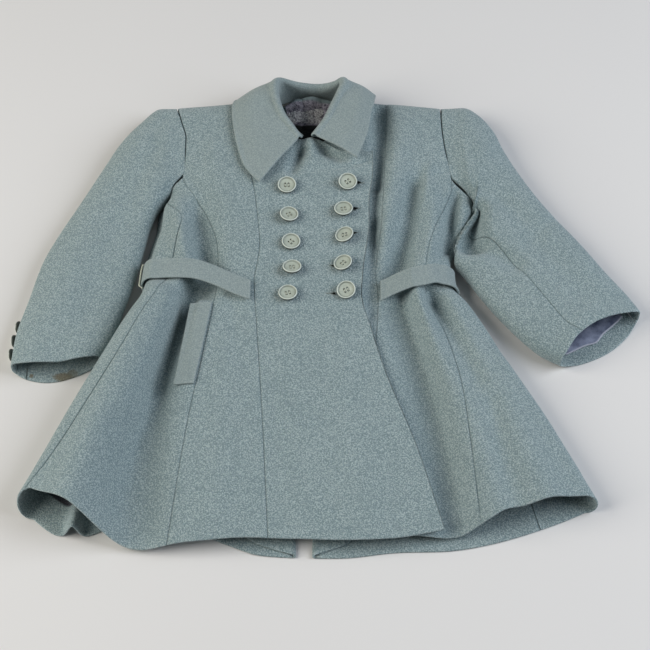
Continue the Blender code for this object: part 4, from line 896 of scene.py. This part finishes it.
def sleeve_surface(rows, cuff, side, layer, creases, flattened):
    """A function that gives a sleeve's outer side: around runs 0 to 1 from the sleeve's outer edge over the
    top and back underneath, and along counts the rings from the armhole."""
    line = {name: Line([(i, getattr(row, name)) for i, row in enumerate(rows)]) for name in rows[0]._fields}
    last = len(rows) - 1
    armhole = LAID_ARMHOLES[side]
    out = -1.0 if side == "left" else 1.0

    def ends(along):
        return (np.stack([line["outer_x"](along), line["outer_y"](along)], -1),
                np.stack([line["inner_x"](along), line["inner_y"](along)], -1))

    before, after = ends(last - 1.0), ends(last)
    run = (after[0] + after[1] - before[0] - before[1]) / 2.0
    run = run / np.linalg.norm(run)

    def point(around, along):
        angle = 2.0 * math.pi * around
        share = 0.5 - 0.5 * np.cos(angle)
        outer, inner = ends(along)
        spot = mix(outer, inner, share[..., None])
        over = np.sin(angle)
        crown = line["crown"](along)
        # The head of the sleeve starts on the armhole.
        head = np.clip(1.0 - along / 3.0, 0.0, 1.0) ** 2
        # Under the arm its first few millimetres are tucked under the body's edge.
        tucked = smoothstep((share - 0.6) / 0.18)
        open_by = 0.15 + 0.75 * smoothstep((share - 0.05) / 0.15)
        bow = armhole(spot[..., 1]) + out * mix(open_by, -ARMHOLE_TUCK, tucked) - spot[..., 0]
        spot[..., 0] += bow * head * np.clip(np.sin(math.pi * share) * 2.0, 0.0, 1.0)
        rise = np.where(over > 0, abs(over) ** 0.8, 1.12 * abs(over) ** 0.45)
        z = crown / 2 * (1.0 + np.copysign(np.minimum(1.0, rise), over))
        joined = front_height(spot[..., 0], spot[..., 1], layer)
        by_front = mix(mix(crown / 2, joined, np.clip(rise * 3.5, 0.0, 1.0)), z, smoothstep(along / 1.5))
        z = np.where((over > 0.0) & (along < 1.5), by_front, z)
        z = z - 2.3 * tucked * smoothstep(1.0 - along / 0.22) * smoothstep(over / 0.3)
        z = z + folded(creases, spot[..., 0], spot[..., 1]) * smoothstep(over / 0.5)
        # Pressed flat, its two layers still lie one on the other.
        flat = np.minimum(folded(flattened, spot[..., 0], spot[..., 1]), FLATTEST) * smoothstep(along / 0.5)
        apart = np.maximum(crown * np.minimum(1.0, rise), 1.0)
        z = z * (1.0 - np.minimum(flat, np.clip(1.0 - LAYERS_APART / apart, 0.0, 1.0)))
        # The cuff's end is cut on a slant.
        end_share = np.clip((along - last + 3.0) / 3.0, 0.0, 1.0) ** 2
        reach = mix(cuff.under, cuff.top, np.clip(z / crown, 0.0, 1.0)) * np.sin(math.pi * share)
        spot = spot + run * (reach * end_share)[..., None]
        return np.concatenate([spot, z[..., None]], -1)

    return point, line["seam"], last


def sleeve(name, surface, way):
    """The top sleeve and the under sleeve, cut from one surface."""
    point, seam, last = surface

    def gap(v):
        return 0.0002 + 0.0012 * np.exp(-(((v * last - 2.0) / 1.5) ** 2))

    def top(u, v):
        return point(mix(-0.07, seam(v * last) - gap(v), u), v * last)

    def under(u, v):
        return point(mix(seam(v * last) + gap(v), 0.929, u), v * last)

    along = np.concatenate([np.linspace(0.0, 0.05, 13), np.linspace(0.05, 1.0, 112)[1:]])
    return [cloth(f"{part}_{name}_cloth", toward_seams(columns), along, place, way=way,
                  sewn=["left", "right", "foot"])
            for part, columns, place in (("top", 76, top), ("under", 56, under))]


right_surface = sleeve_surface(RIGHT_SLEEVE, RIGHT_CUFF, "left", "upper", RIGHT_SLEEVE_CREASES, [])
left_surface = sleeve_surface(LEFT_SLEEVE, LEFT_CUFF, "right", "lower", LEFT_SLEEVE_CREASES, LEFT_SLEEVE_FLAT)
right_sleeves = sleeve("right_sleeve", right_surface, -1.0)
left_sleeves = sleeve("left_sleeve", left_surface, 1.0)
wear(right_sleeves[0], crepe, "crepe", "top_sleeve_right")
# The open cuff shows its facing's seam and two brown stains.
Mark = namedtuple("Mark", "name x y wide long ragged colour strength")
CUFF_MARKS = [
    Mark("facing seam", -293.2, -62, 0.8, 13, 0.0, (0.020, 0.032, 0.036), 0.85),
    Mark("small stain", -288.6, -62.5, 2.6, 2.6, 0.5, (0.155, 0.120, 0.060), 0.75),
    Mark("stain", -258, -64.5, 11, 6.5, 0.9, (0.150, 0.120, 0.062), 0.8),
    Mark("stain's second tide", -248, -60, 7, 6, 0.9, (0.115, 0.105, 0.062), 0.6),
    Mark("stain towards the hem", -262, -73, 8, 4, 0.9, (0.185, 0.160, 0.095), 0.5),
]
stained = crepe_finish("stained_crepe", CREPE_DARK, CREPE_LIGHT, 1.0, CUFF_MARKS)
wear(right_sleeves[1], stained, "crepe", "under_sleeve_right")
wear(left_sleeves[0], crepe, "crepe", "top_sleeve_left")
wear(left_sleeves[1], crepe, "crepe", "under_sleeve_left")

# The collar: two layers of crepe turned out and pressed as one, sewn round the neck. It stands, rolls over
# and falls to two points on the fronts.
COLLAR_THICK = 2.4
CLEAR = 0.9
CollarRow = namedtuple("CollarRow", "seam roll edge")
COLLAR = [
    CollarRow((-23, 216, 34), (-25, 210, 43), (-67, 151, 38)),
    CollarRow((-33, 225, 33), (-34, 225, 44), (-83, 172, 37)),
    CollarRow((-45, 239, 31), (-43, 240, 45), (-91, 198, 36)),
    CollarRow((-54, 253, 27), (-49, 258, 46), (-96, 227, 35)),
    CollarRow((-58, 267, 20), (-51, 274, 48), (-98, 254, 32)),
    CollarRow((-53, 277, 12), (-50, 282, 47), (-92, 276, 20)),
    CollarRow((-40, 286, 8), (-42, 287, 42), (-68, 293, 8)),
    CollarRow((-24, 291, 6), (-26, 287, 33), (-36, 300, 4)),
    CollarRow((-7, 292, 6), (-8, 287, 29), (-8, 302, 4)),
    CollarRow((9, 291, 6), (6, 286, 35), (18, 300, 4)),
    CollarRow((24, 286, 8), (15, 286, 44), (42, 292, 10)),
    CollarRow((34, 276, 14), (18, 280, 48), (53, 277, 26)),
    CollarRow((33, 262, 22), (14, 268, 48), (52, 262, 37)),
    CollarRow((22, 246, 29), (8, 252, 48), (48, 241, 41)),
    CollarRow((8, 229, 32), (-1, 230, 47), (44, 213, 42)),
    CollarRow((-5, 216, 34), (-13, 211, 45), (33, 180, 42)),
]
ACROSS_COLLAR = [0.0, 0.2, 0.29, 0.38, 0.7, 1.0]  # seam, foot of the roll, its top, past it, fall, edge
COLLAR_LINES = [Line(list(enumerate(values)))
                for values in zip(*(row.seam + row.roll + row.edge for row in COLLAR))]


def collar_column(u, v):
    """The seen side of the collar at one place along it, from the neck seam over the roll to the edge."""
    values = np.array([line(u * (len(COLLAR) - 1.0)) for line in COLLAR_LINES])
    seam, roll, edge = values[0:3], values[3:6], values[6:9]
    out = unit(np.array([edge[0] - roll[0], edge[1] - roll[1], 0.0]))
    drop = np.clip((roll[2] - edge[2]) / 12.0, 0.35, 1.0) * 4.0
    foot = roll - np.array([0.0, 0.0, 4.5])
    past = roll + out * 6.4 - np.array([0.0, 0.0, drop])
    fall = mix(past, edge, 0.5) + np.array([0.0, 0.0, 2.5]) + out * 1.5
    knots = [seam, foot, roll + out * 2.6, past, fall, edge]
    here = np.stack([Line(list(zip(ACROSS_COLLAR, values)))(v) for values in zip(*knots)], -1)
    floor = np.where(here[:, 0] < 49.0, front_height(here[:, 0], here[:, 1], "upper"),
                     front_height(here[:, 0], here[:, 1], "lower")) + COLLAR_THICK + 0.5
    on_front = (v > 0.34) & (here[:, 1] < SHOULDER_Y + SHOULDER(here[:, 0]))
    here[:, 2] = np.where(on_front, np.maximum(here[:, 2], floor), here[:, 2])
    return here


def collar(u, v):
    return np.stack([collar_column(u[i, 0], v[i]) for i in range(len(u))])


collar_piece = cloth("collar_cloth", np.linspace(0.0, 1.0, 150), np.linspace(0.0, 1.0, 44), collar,
                     COLLAR_THICK, way=-1.0)
wear(collar_piece, pressed, "crepe", "collar")

# The half belts: doubled crepe, each caught in a front seam. The wearer's right one passes through a thread
# loop at the side, and both go round underneath.
BELT_THICK, BELT_WIDTH = 2.2, 24.0
RIGHT_BELT = [
    SeamRow(21, -72), SeamRow(28, -90), SeamRow(38, -111), SeamRow(44, -130), SeamRow(45, -146),
    SeamRow(46, -161), SeamRow(46, -178),
]
LEFT_BELT = [SeamRow(25, 54), SeamRow(31, 70), SeamRow(35, 85), SeamRow(38, 100), SeamRow(42, 112)]


def clear_height(x, y, half, layer):
    """The highest point of the front within half of y and a little of x."""
    return np.maximum.reduce([front_height(x + step, y + half * share, layer)
                              for share in (-1.0, -0.6, -0.2, 0.2, 0.6, 1.0) for step in (-5, 0, 5)])


def taut_line(distances, heights):
    """The heights of a band drawn tight over these: straight between the points that it rests on."""
    kept = []
    for point in zip(distances, heights):
        while len(kept) > 1 and ((kept[-1][1] - kept[-2][1]) * (point[0] - kept[-2][0])
                                 <= (point[1] - kept[-2][1]) * (kept[-1][0] - kept[-2][0])):
            kept.pop()
        kept.append(point)
    tight = np.interp(distances, [point[0] for point in kept], [point[1] for point in kept])
    softened = np.convolve(np.pad(tight, 2, mode="edge"), np.ones(5) / 5.0, mode="valid")
    return Line(list(zip(distances, np.maximum(softened, heights))))


def half_belt(name, rows, side, layer, seam_x):
    """A half belt from the front seam, round the turned edge, to its sewn-down end underneath."""
    middle = Line([(row.x, row.y) for row in rows])
    out = -1.0 if side == "left" else 1.0
    lift = 1.5 * CLEAR + BELT_THICK
    middle_start = edge_start(46.0, side)[0]
    edge_y = float(middle(middle_start))
    seam_turned = turned_place(seam_x, edge_y, side)
    middle_start = edge_start(edge_y, side)[0]
    reach_x = abs(middle_start - seam_x)
    steps = np.linspace(0.0, reach_x, 25)
    under_belt = seam_x + out * steps
    tight = taut_line(steps, clear_height(under_belt, middle(under_belt), BELT_WIDTH / 2, layer))

    def place(u, v):
        turned = np.where(u < 7.0 / 18.0, mix(seam_turned, 0.0, u * 18.0 / 7.0),
                          np.where(u < 16.0 / 18.0, u * 2.0 - 7.0 / 9.0, mix(1.0, 2.2, u * 9.0 - 8.0)))
        across = (v - 0.5) * BELT_WIDTH
        start, reach = edge_start(edge_y + across, side)
        x = middle_start + out * TURN_STEP * turned
        x = x + (start - middle_start) * smoothstep(1.0 - turned / seam_turned)
        along = out * (middle_start + out * TURN_STEP * turned - seam_x)
        on_front = np.stack([x, middle(x) + across, tight(along) + lift], -1)
        under = np.stack([start - out * TURN_STEP * (turned - 1.0), edge_y + across, 0.0 * across], -1)
        top = tight(reach_x) + lift
        slope = front_height(start, edge_y, layer) - front_height(start - out, edge_y, layer)
        x, z = edge_curve(np.clip(turned, 0.0, 1.0), start, out * (reach + lift + 0.6), top, 0.0, slope)
        round_edge = np.stack([x, edge_y + across, z], -1)
        turned = turned[..., None]
        return np.where(turned <= 0.0, on_front, np.where(turned >= 1.0, under, round_edge))

    columns = np.concatenate([np.linspace(0, 7, 40), np.linspace(7, 16, 28)[1:], np.linspace(16, 18, 10)[1:]])
    return cloth(name, columns / 18.0, np.linspace(0.0, 1.0, 13), place, BELT_THICK, way=out)


right_belt = half_belt("right_half_belt_cloth", RIGHT_BELT, "left", "upper", -74.0)
left_belt = half_belt("left_half_belt_cloth", LEFT_BELT, "right", "lower", 55.0)
wear(right_belt, pressed, "crepe", "half_belt_right")
wear(left_belt, pressed, "crepe", "half_belt_left")

# The pocket welt: a narrow band of crepe along the princess seam, over the pocket's opening.
def welt(u, v):
    y = mix(-86.0, 10.0, v)
    right = RIGHT_PRINCESS(y) - 1.2
    x = mix(right - mix(20.0, 22.0, v), right, u)
    # It is stiff, so it stays flat where the cloth beside it falls away.
    flat = front_height(right, y, "upper") - 2.5 * (1.0 - u)
    return np.stack([x, y, np.maximum(front_height(x, y, "upper"), flat)], -1)


welt_piece = cloth("pocket_welt_cloth", np.linspace(0.0, 1.0, 12), np.linspace(0.0, 1.0, 40), welt,
                   outer=CREPE_THICK + 0.5)
wear(welt_piece, pressed, "crepe", "pocket_welt")

# The inside of the neck: smooth lining with a narrow facing edge, and the bare tape where a label was sewn.
LINING_THICK, LABEL_THICK = 1.0, 0.6
lining = Finish("lining", Roughness=0.5, Specular_IOR_Level=0.4, Sheen_Weight=0.2, Sheen_Roughness=0.4)
lining_weave = lining.noise(0.0006, 2.0, 0.6)
lining_marks = lining.noise(0.022, 3.0, 0.6)
lining_colour = lining.blend((0.035, 0.050, 0.100), (0.300, 0.335, 0.450),
                             (lining_weave * 0.25 + lining_marks * 0.75).between(0.33, 0.66))
lining.give("Base Color", lining.blend(lining_colour, (0.42, 0.44, 0.52),
                                       1.0 - lining.painted("from_edge").between(0.0007, 0.0016)))
lining.raise_by(lining_weave * 0.3 + lining.noise(0.007, 2.0) * 1.2, 0.0006)
# In the neck it has gone purple and grey with wear; further down it is painted near-black, painted shade for
# the dark inside of the coat.
worn = Finish("worn_lining", Roughness=0.6, Specular_IOR_Level=0.35, Sheen_Weight=0.2, Sheen_Roughness=0.4)
worn_creases = worn.noise(0.0032, 3.0, 0.6)
up_neck = worn.node("ShaderNodeSeparateXYZ", {}, {"Vector": worn.where()}, "Y")
worn_shade = (worn_creases * 0.7 + worn.noise(0.0008, 1.0) * 0.5 - 0.1).between(0.3, 0.7)
worn_colour = worn.blend((0.060, 0.056, 0.085), (0.500, 0.470, 0.545), worn_shade)
worn_colour = worn.blend(worn_colour, (0.190, 0.245, 0.255), up_neck.between(0.2590, 0.2615))
# Below a line across the neck the lining is painted near-black: painted shade, not the cloth's own colour.
worn.give("Base Color", worn.blend((0.006, 0.009, 0.009), worn_colour, up_neck.between(0.2335, 0.2372)))
worn.raise_by(worn_creases + worn.noise(0.009, 2.0) * 0.8, 0.0014)

NECK_CRUMPLES = [
    Fold("deep crease", -23, 290, -24.5, 254, 0.8, 1.4, 1.8, -2.2, -2.6),
    Fold("roll beside it", -29, 280, -31, 258, 1.0, 3.0, 3.5, 2.2, 1.6),
    Fold("slanting crease", -41, 272, -28, 262, 0.5, 1.3, 1.6, -1.4, -1.6),
    Fold("crease to the left edge", -42, 262, -32, 255, 0.5, 1.4, 1.4, -1.6, -1.2),
    Fold("ruck at the top", -18, 276, 2, 271, -1.2, 2.2, 1.8, 1.8, 1.5),
    Fold("crease under the ruck", -18, 271, 4, 266, -1.0, 1.3, 1.3, -1.4, -1.8),
    Fold("lower ruck", -19, 263, 2, 260, 0.8, 2.0, 2.0, 1.8, 1.6),
    Fold("gathered end", -4, 280, 2, 258, 0.6, 1.3, 1.3, -1.4, -1.4),
    Fold("rise along the foot", -44, 255, 8, 253, 0, 3.0, 3.0, 2.0, 2.4),
]
NECK_TOP = Line([(-41, 3), (-35, 6), (-27, 8.5), (-15, 12), (-5, 7.5), (6, 5), (22, 3)])


def neck_place(x, y, v):
    """The crumpled lining: its top turns up the inside of the collar, to a peak."""
    y, z = back_middle(x, y, 1.0)
    up = smoothstep((v - 0.84) / 0.16)
    z = z + np.maximum(folded(NECK_CRUMPLES, x, y), -1.0) + NECK_TOP(x) * up
    return np.stack([x, y - 1.5 * up, z], -1)


def neck_lining(u, v):
    x = mix(-41.0, 22.0, u)
    return neck_place(x, mix(212.0, NECKS["back"](x) - 3.0, v), v)


def neck_label(u, v):
    x = mix(-39.0, -4.0, u) + 0.5 * np.sin(9.0 * v)
    return neck_place(x, mix(256.0, 276.5, v) + 0.5 * np.sin(7.0 * u), 0.0 * v)


neck_piece = cloth("neck_lining_cloth", np.linspace(0.0, 1.0, 80), np.linspace(0.0, 1.0, 96), neck_lining,
                   LINING_THICK, 1.0 + 2.2 + LINING_THICK)
wear(neck_piece, worn, "lining", "neck_lining")
tape = Finish("label_tape", Roughness=0.7, Sheen_Weight=0.2)
tape_creases = tape.noise(0.0022, 2.0, 0.6)
tape.give("Base Color", tape.blend((0.13, 0.125, 0.155), (0.80, 0.79, 0.79),
                                   (tape_creases * 0.75 + tape.noise(0.0007, 1.0) * 0.4).between(0.42, 0.74)))
tape.raise_by(tape_creases, 0.0012)
label_piece = cloth("neck_label_tape", np.linspace(0.0, 1.0, 60), np.linspace(0.0, 1.0, 40), neck_label,
                    LABEL_THICK, 1.0 + 3.2 + LINING_THICK)
wear(label_piece, tape, "label", "neck_label")

# The lining inside the wearer's left cuff, which shows on its lower side.
def cuff_lining(u, v):
    end = len(LEFT_SLEEVE) - 1.66 + 0.13 * np.exp(-(((u - 0.42) / 0.1) ** 2))
    return left_surface[0](mix(0.645, 0.89, u), mix(len(LEFT_SLEEVE) - 3.4, end, v))


cuff_piece = cloth("left_cuff_lining_cloth", np.linspace(0.0, 1.0, 36), np.linspace(0.0, 1.0, 22),
                   cuff_lining, LINING_THICK, -CREPE_THICK - 1.3)
wear(cuff_piece, lining, "lining", "cuff_lining_left")

# The belt's carrier: a loop worked in pale buttonhole thread, sewn down above and below the half belt.
thread = Finish("thread", Roughness=0.75, Sheen_Weight=0.3)
thread.give("Base Color", thread.blend((0.42, 0.46, 0.38), (0.66, 0.68, 0.58), thread.noise(0.0007, 2.0)))
thread.raise_by(thread.noise(0.0004, 1.0), 0.0001)


def carrier_path(across, middle_y=46.0):
    y = middle_y + across
    start, reach = edge_start(y, "left")
    over_belt = smoothstep((15.5 - abs(across)) / 3.0)
    lift = mix(1.6, 1.5 * CLEAR + BELT_THICK + 2.2, over_belt)
    top = mix(front_height(start, y, "upper"), clear_height(start, middle_y, 12.0, "upper"), over_belt)
    slope = front_height(start, y, "upper") - front_height(start + 1.0, y, "upper")
    x, z = edge_curve(0.42, start, -(reach + lift), top + lift, 0.0, slope)
    return np.stack([x, y, z], -1)


def thread_curve(name, strands, thick):
    """Lengths of thread, each through its points in metres. thick is in millimetres."""
    curve = bpy.data.curves.new(name, "CURVE")
    curve.dimensions = "3D"
    curve.bevel_depth = thick / 2.0 * MM
    curve.bevel_resolution = 2
    curve.use_fill_caps = True
    for points in strands:
        spline = curve.splines.new("POLY")
        spline.points.add(len(points) - 1)
        for knot, point in zip(spline.points, points):
            knot.co = (*point, 1.0)
    return put(name, curve)


carrier_along = np.linspace(-15.5, 15.5, 90)
carrier_points = carrier_path(carrier_along)
for strand in range(2):
    twist = carrier_along * 1.9 + strand * math.pi
    beside = np.stack([np.cos(twist), 0.0 * twist, np.sin(twist)], -1) * 0.42
    piece = thread_curve(f"belt_carrier_strand_{strand + 1}", [in_frame(carrier_points + beside)], 0.95)
    wear(piece, thread, "thread", "belt_carrier")

# The front buttons: pressed horn-like discs with a raised rim and four holes, sewn on with matching thread.
BUTTON_ACROSS, BUTTON_THICK = 19.2, 3.6
HOLES_OUT, HOLE_SIZE = 0.25, 0.115  # shares of the button's radius
BUTTON_PROFILE = [
    (0.0, 0.0), (0.6, 0.0), (0.82, 0.06), (0.95, 0.2), (1.0, 0.42), (1.0, 0.64), (0.985, 0.84), (0.955, 0.96),
    (0.92, 1.0), (0.885, 0.97), (0.86, 0.86), (0.84, 0.70), (0.80, 0.62), (0.72, 0.60), (0.55, 0.61),
    (0.50, 0.58), (0.46, 0.53), (0.25, 0.52), (0.0, 0.52),
]
ButtonPlace = namedtuple("ButtonPlace", "x y lean_x lean_y turn")
FRONT_BUTTONS = [
    ButtonPlace(-39, 149.5, 0, -0.13, 0.05), ButtonPlace(-37, 112.3, 0.11, 0.07, 0.5),
    ButtonPlace(-34.3, 80.2, 0.03, -0.03, 0.9), ButtonPlace(-33, 47.2, 0, 0.21, 0.15),
    ButtonPlace(-36.8, 17.8, -0.03, 0.07, 0.3), ButtonPlace(23.4, 153.8, 0, -0.18, 0.6),
    ButtonPlace(19, 118.8, -0.03, 0.10, 0.2), ButtonPlace(21.4, 86.8, -0.31, 0.045, 0.1),
    ButtonPlace(19.6, 52.8, -0.28, 0.05, 0.75), ButtonPlace(21.7, 22, -0.13, -0.22, 0.4),
]
horn = Finish("button", Roughness=0.32, Specular_IOR_Level=0.5, Coat_Roughness=0.2)
horn_cloud = horn.noise(0.006, 2.0)
horn_face = horn.blend((0.385, 0.435, 0.375), (0.455, 0.505, 0.440), horn_cloud.between(0.3, 0.7))
# The rim is polished pale, partly as a painted highlight, and the groove inside it is painted darker. The
# turned side and the insides of the holes are painted dark as painted shade.
out_from_middle = horn.painted("out_from_middle")
groove = out_from_middle.between(0.70, 0.80) * (1.0 - out_from_middle.between(0.85, 0.90))
horn_face = horn.blend(horn_face, (0.150, 0.175, 0.150), groove * 0.6)
horn_face = horn.blend(horn_face, (0.600, 0.660, 0.605), out_from_middle.between(0.85, 0.90))
horn.give("Base Color", horn.blend(horn_face, (0.060, 0.070, 0.062), out_from_middle.between(0.986, 0.994)))
horn.give("Roughness", 0.26 + horn.noise(0.0012, 2.0) * 0.18)
horn.raise_by(horn.noise(0.0009, 2.0), 0.00003)


def button_mesh(name, across, thick, holes):
    """A turned button, with its holes through it."""
    radius = across / 2.0 * MM
    outline = bpy.data.meshes.new(name + "_outline")
    points = [(r * radius, 0.0, z * thick * MM) for r, z in BUTTON_PROFILE]
    outline.from_pydata(points, [(i, i + 1) for i in range(len(points) - 1)], [])
    turned = put(name + "_turned", outline)
    screw = turned.modifiers.new("turned", "SCREW")
    screw.steps = screw.render_steps = 56
    screw.use_merge_vertices = True
    screw.merge_threshold = 1e-5
    cutter = None
    if holes:
        cut = bmesh.new()
        for corner in range(4):
            angle = math.pi / 4 + corner * math.pi / 2
            off = HOLES_OUT * radius
            spot = (math.cos(angle) * off, math.sin(angle) * off, thick * MM / 2)
            made = bmesh.ops.create_cone(cut, cap_ends=True, segments=20, radius1=HOLE_SIZE * radius,
                                         radius2=HOLE_SIZE * radius, depth=thick * MM * 2)
            bmesh.ops.translate(cut, verts=made["verts"], vec=spot)
        cutter_mesh = bpy.data.meshes.new(name + "_holes")
        cut.to_mesh(cutter_mesh)
        cut.free()
        cutter = put(name + "_holes", cutter_mesh)
        drilled = turned.modifiers.new("holes", "BOOLEAN")
        drilled.operation = "DIFFERENCE"
        drilled.solver = "EXACT"
        drilled.object = cutter
    made = bpy.data.meshes.new_from_object(turned.evaluated_get(bpy.context.evaluated_depsgraph_get()))
    bpy.data.objects.remove(turned)
    if cutter:
        bpy.data.objects.remove(cutter)
    faces = bmesh.new()
    faces.from_mesh(made)
    bmesh.ops.recalc_face_normals(faces, faces=faces.faces[:])
    if faces.calc_volume(signed=True) < 0.0:
        bmesh.ops.reverse_faces(faces, faces=faces.faces[:])
    faces.to_mesh(made)
    faces.free()
    made.materials.clear()
    made.shade_smooth()
    made.set_sharp_from_angle(angle=math.radians(42))
    # The side and the insides of the holes count as further out than the rim, so that they take the dark
    # painted shade.
    out = [math.hypot(corner.co.x, corner.co.y) / radius if corner.co.z > 0.5 * thick * MM else 2.0
           for corner in made.vertices]
    made.attributes.new("out_from_middle", "FLOAT", "POINT").data.foreach_set("value", out)
    return made


def surface_normal(place, x, y):
    along_x = place(x + 3.0, y) - place(x - 3.0, y)
    along_y = place(x, y + 3.0) - place(x, y - 3.0)
    return unit(np.cross(along_x, along_y))


def button_turn(spot, normal, turn, across, surface=None):
    """The placing of a button on the cloth, high enough that its underside is clear all round."""
    normal = Vector(normal)
    tilt = Vector((0.0, 0.0, 1.0)).rotation_difference(normal).to_matrix().to_4x4()
    rise = 0.0
    for step in range(12 if surface else 0):
        angle = step * math.pi / 6.0
        rim = tilt @ Vector((math.cos(angle) * across * 0.46, math.sin(angle) * across * 0.46, 0.0))
        above = float(surface(spot[0] + rim.x, spot[1] + rim.y)[2]) - float(spot[2]) - rim.z
        rise = max(rise, above * normal.z)
    place = Vector([float(k) for k in spot]) + normal * (rise + CLEAR)
    place -= Vector((MIDDLE[0], MIDDLE[1], 0.0))
    return Matrix.Translation(place * MM) @ tilt @ Matrix.Rotation(turn, 4, "Z")


def upper_surface(x, y):
    return np.array([x, y, float(front_height(np.float64(x), np.float64(y), "upper"))])


def sewn_through(name, move):
    """Two stitches of thread over the face of a button, from hole to hole."""
    hole, face = HOLES_OUT * math.cos(math.pi / 4) * BUTTON_ACROSS / 2.0, 0.52 * BUTTON_THICK
    stitch = [(-0.9, -1.2), (-0.8, 0.1), (-0.45, 0.4), (0.0, 0.45), (0.45, 0.4), (0.8, 0.1), (0.9, -1.2)]
    strands = [[move @ (Vector((side * hole, along * hole, face + above)) * MM) for along, above in stitch]
               for side in (-1.0, 1.0)]
    return thread_curve(name, strands, 0.6)


def seat(button_shape, name, move):
    """One button in its place."""
    shape = button_shape.copy()
    shape.transform(move)
    wear(put(name + "_disc", shape), horn, "button", name)


front_button = button_mesh("front_button", BUTTON_ACROSS, BUTTON_THICK, True)
for number, button in enumerate(FRONT_BUTTONS):
    name = f"button_{'right' if number < 5 else 'left'}_{number % 5 + 1}"
    lean = (button.lean_x, button.lean_y, math.sqrt(1.0 - button.lean_x**2 - button.lean_y**2))
    move = button_turn(upper_surface(button.x, button.y), lean, button.turn, BUTTON_ACROSS, upper_surface)
    seat(front_button, name, move)
    wear(sewn_through(name + "_stitches", move), thread, "thread", name)

# The buttonholes, as far as they show beside the buttons: a round eye that the shank has pulled open, and
# a slit worked with thread the colour of the cloth. The opening itself is a thin near-black sheet: painted
# shade.
HoleRow = namedtuple("HoleRow", "name x y to_x to_y eye")
BUTTONHOLES = [
    HoleRow("left_1", 34.1, 154.7, 40.5, 154.0, 2.1), HoleRow("left_2", 30.2, 122.3, 37.0, 123.2, 2.1),
    HoleRow("left_3", 29.8, 92.6, 34.2, 93.6, 1.5), HoleRow("left_4", 8.4, 52.6, 4.0, 53.4, 1.5),
    HoleRow("left_5", 9.2, 19.8, 1.4, 20.6, 1.8),
]
# The opening's near-black colour is painted shade for the dark inside of the hole.
opening = Finish("buttonhole_inside", Roughness=0.95, Specular_IOR_Level=0.1)
opening.give("Base Color", opening.blend((0.004, 0.006, 0.006), (0.012, 0.016, 0.017),
                                         opening.noise(0.0008, 2.0)))
hole_thread = Finish("buttonhole_thread", Roughness=0.85, Sheen_Weight=0.3)
hole_twist = hole_thread.noise(0.0006, 2.0)
hole_thread.give("Base Color", hole_thread.blend((0.07, 0.10, 0.10), (0.30, 0.36, 0.35),
                                                 hole_twist.between(0.3, 0.7)))
hole_thread.raise_by(hole_twist, 0.0002)


def on_overlap(x, y, above):
    return in_frame(upper_surface(x, y) + [0.0, 0.0, above]).tolist()


for row in BUTTONHOLES:
    way = unit(np.array([row.to_x - row.x, row.to_y - row.y]))
    beside = np.array([-way[1], way[0]])
    length = math.hypot(row.to_x - row.x, row.to_y - row.y)
    # Round the eye, along one side of the slit to its end, and back along the other side.
    outline = [(-row.eye * math.cos(turn), row.eye * math.sin(turn)) for turn in np.linspace(-2.5, 2.5, 19)]
    outline += [(length * 0.6, 0.42), (length, 0.18), (length, -0.18), (length * 0.6, -0.42)]
    spots = [(row.x + a * way[0] + b * beside[0], row.y + a * way[1] + b * beside[1]) for a, b in outline]
    inside = bpy.data.meshes.new("buttonhole_" + row.name)
    middle = [on_overlap(row.x, row.y, 0.12), on_overlap(row.x, row.y, 0.02)]
    edge = [on_overlap(x, y, above) for above in (0.12, 0.02) for x, y in spots]
    count = len(spots)
    faces = [(0, 2 + i, 2 + (i + 1) % count) for i in range(count)]
    faces += [(1, 2 + count + (i + 1) % count, 2 + count + i) for i in range(count)]
    faces += [(2 + i, 2 + count + i, 2 + count + (i + 1) % count, 2 + (i + 1) % count) for i in range(count)]
    inside.from_pydata(middle + edge, [], faces)
    wear(put("buttonhole_" + row.name, inside), opening, "crepe", "front_right_overlap")
    path = [on_overlap(x, y, 0.25) for x, y in spots + spots[:1]]
    stitching = thread_curve("buttonhole_thread_" + row.name, [path], 0.75)
    wear(stitching, hole_thread, "thread", "front_right_overlap")

# The three small buttons at the wearer's right cuff, seen nearly on edge.
CUFF_BUTTON_ACROSS, CUFF_BUTTON_THICK = 12.5, 3.2
CUFF_BUTTON_PLACES = [8.68, 9.1, 9.52]  # rings along the right sleeve
cuff_button = button_mesh("cuff_button", CUFF_BUTTON_ACROSS, CUFF_BUTTON_THICK, False)
for number, ring in enumerate(CUFF_BUTTON_PLACES):

    def sleeve_edge(around, along):
        return right_surface[0](np.array(-0.02 + around / 2000.0), np.array(ring + along / 30.0))

    normal = -surface_normal(sleeve_edge, 0.0, 0.0)
    move = button_turn(sleeve_edge(0.0, 0.0), normal, 0.3 * number, CUFF_BUTTON_ACROSS)
    seat(cuff_button, f"cuff_button_{number + 1}", move)
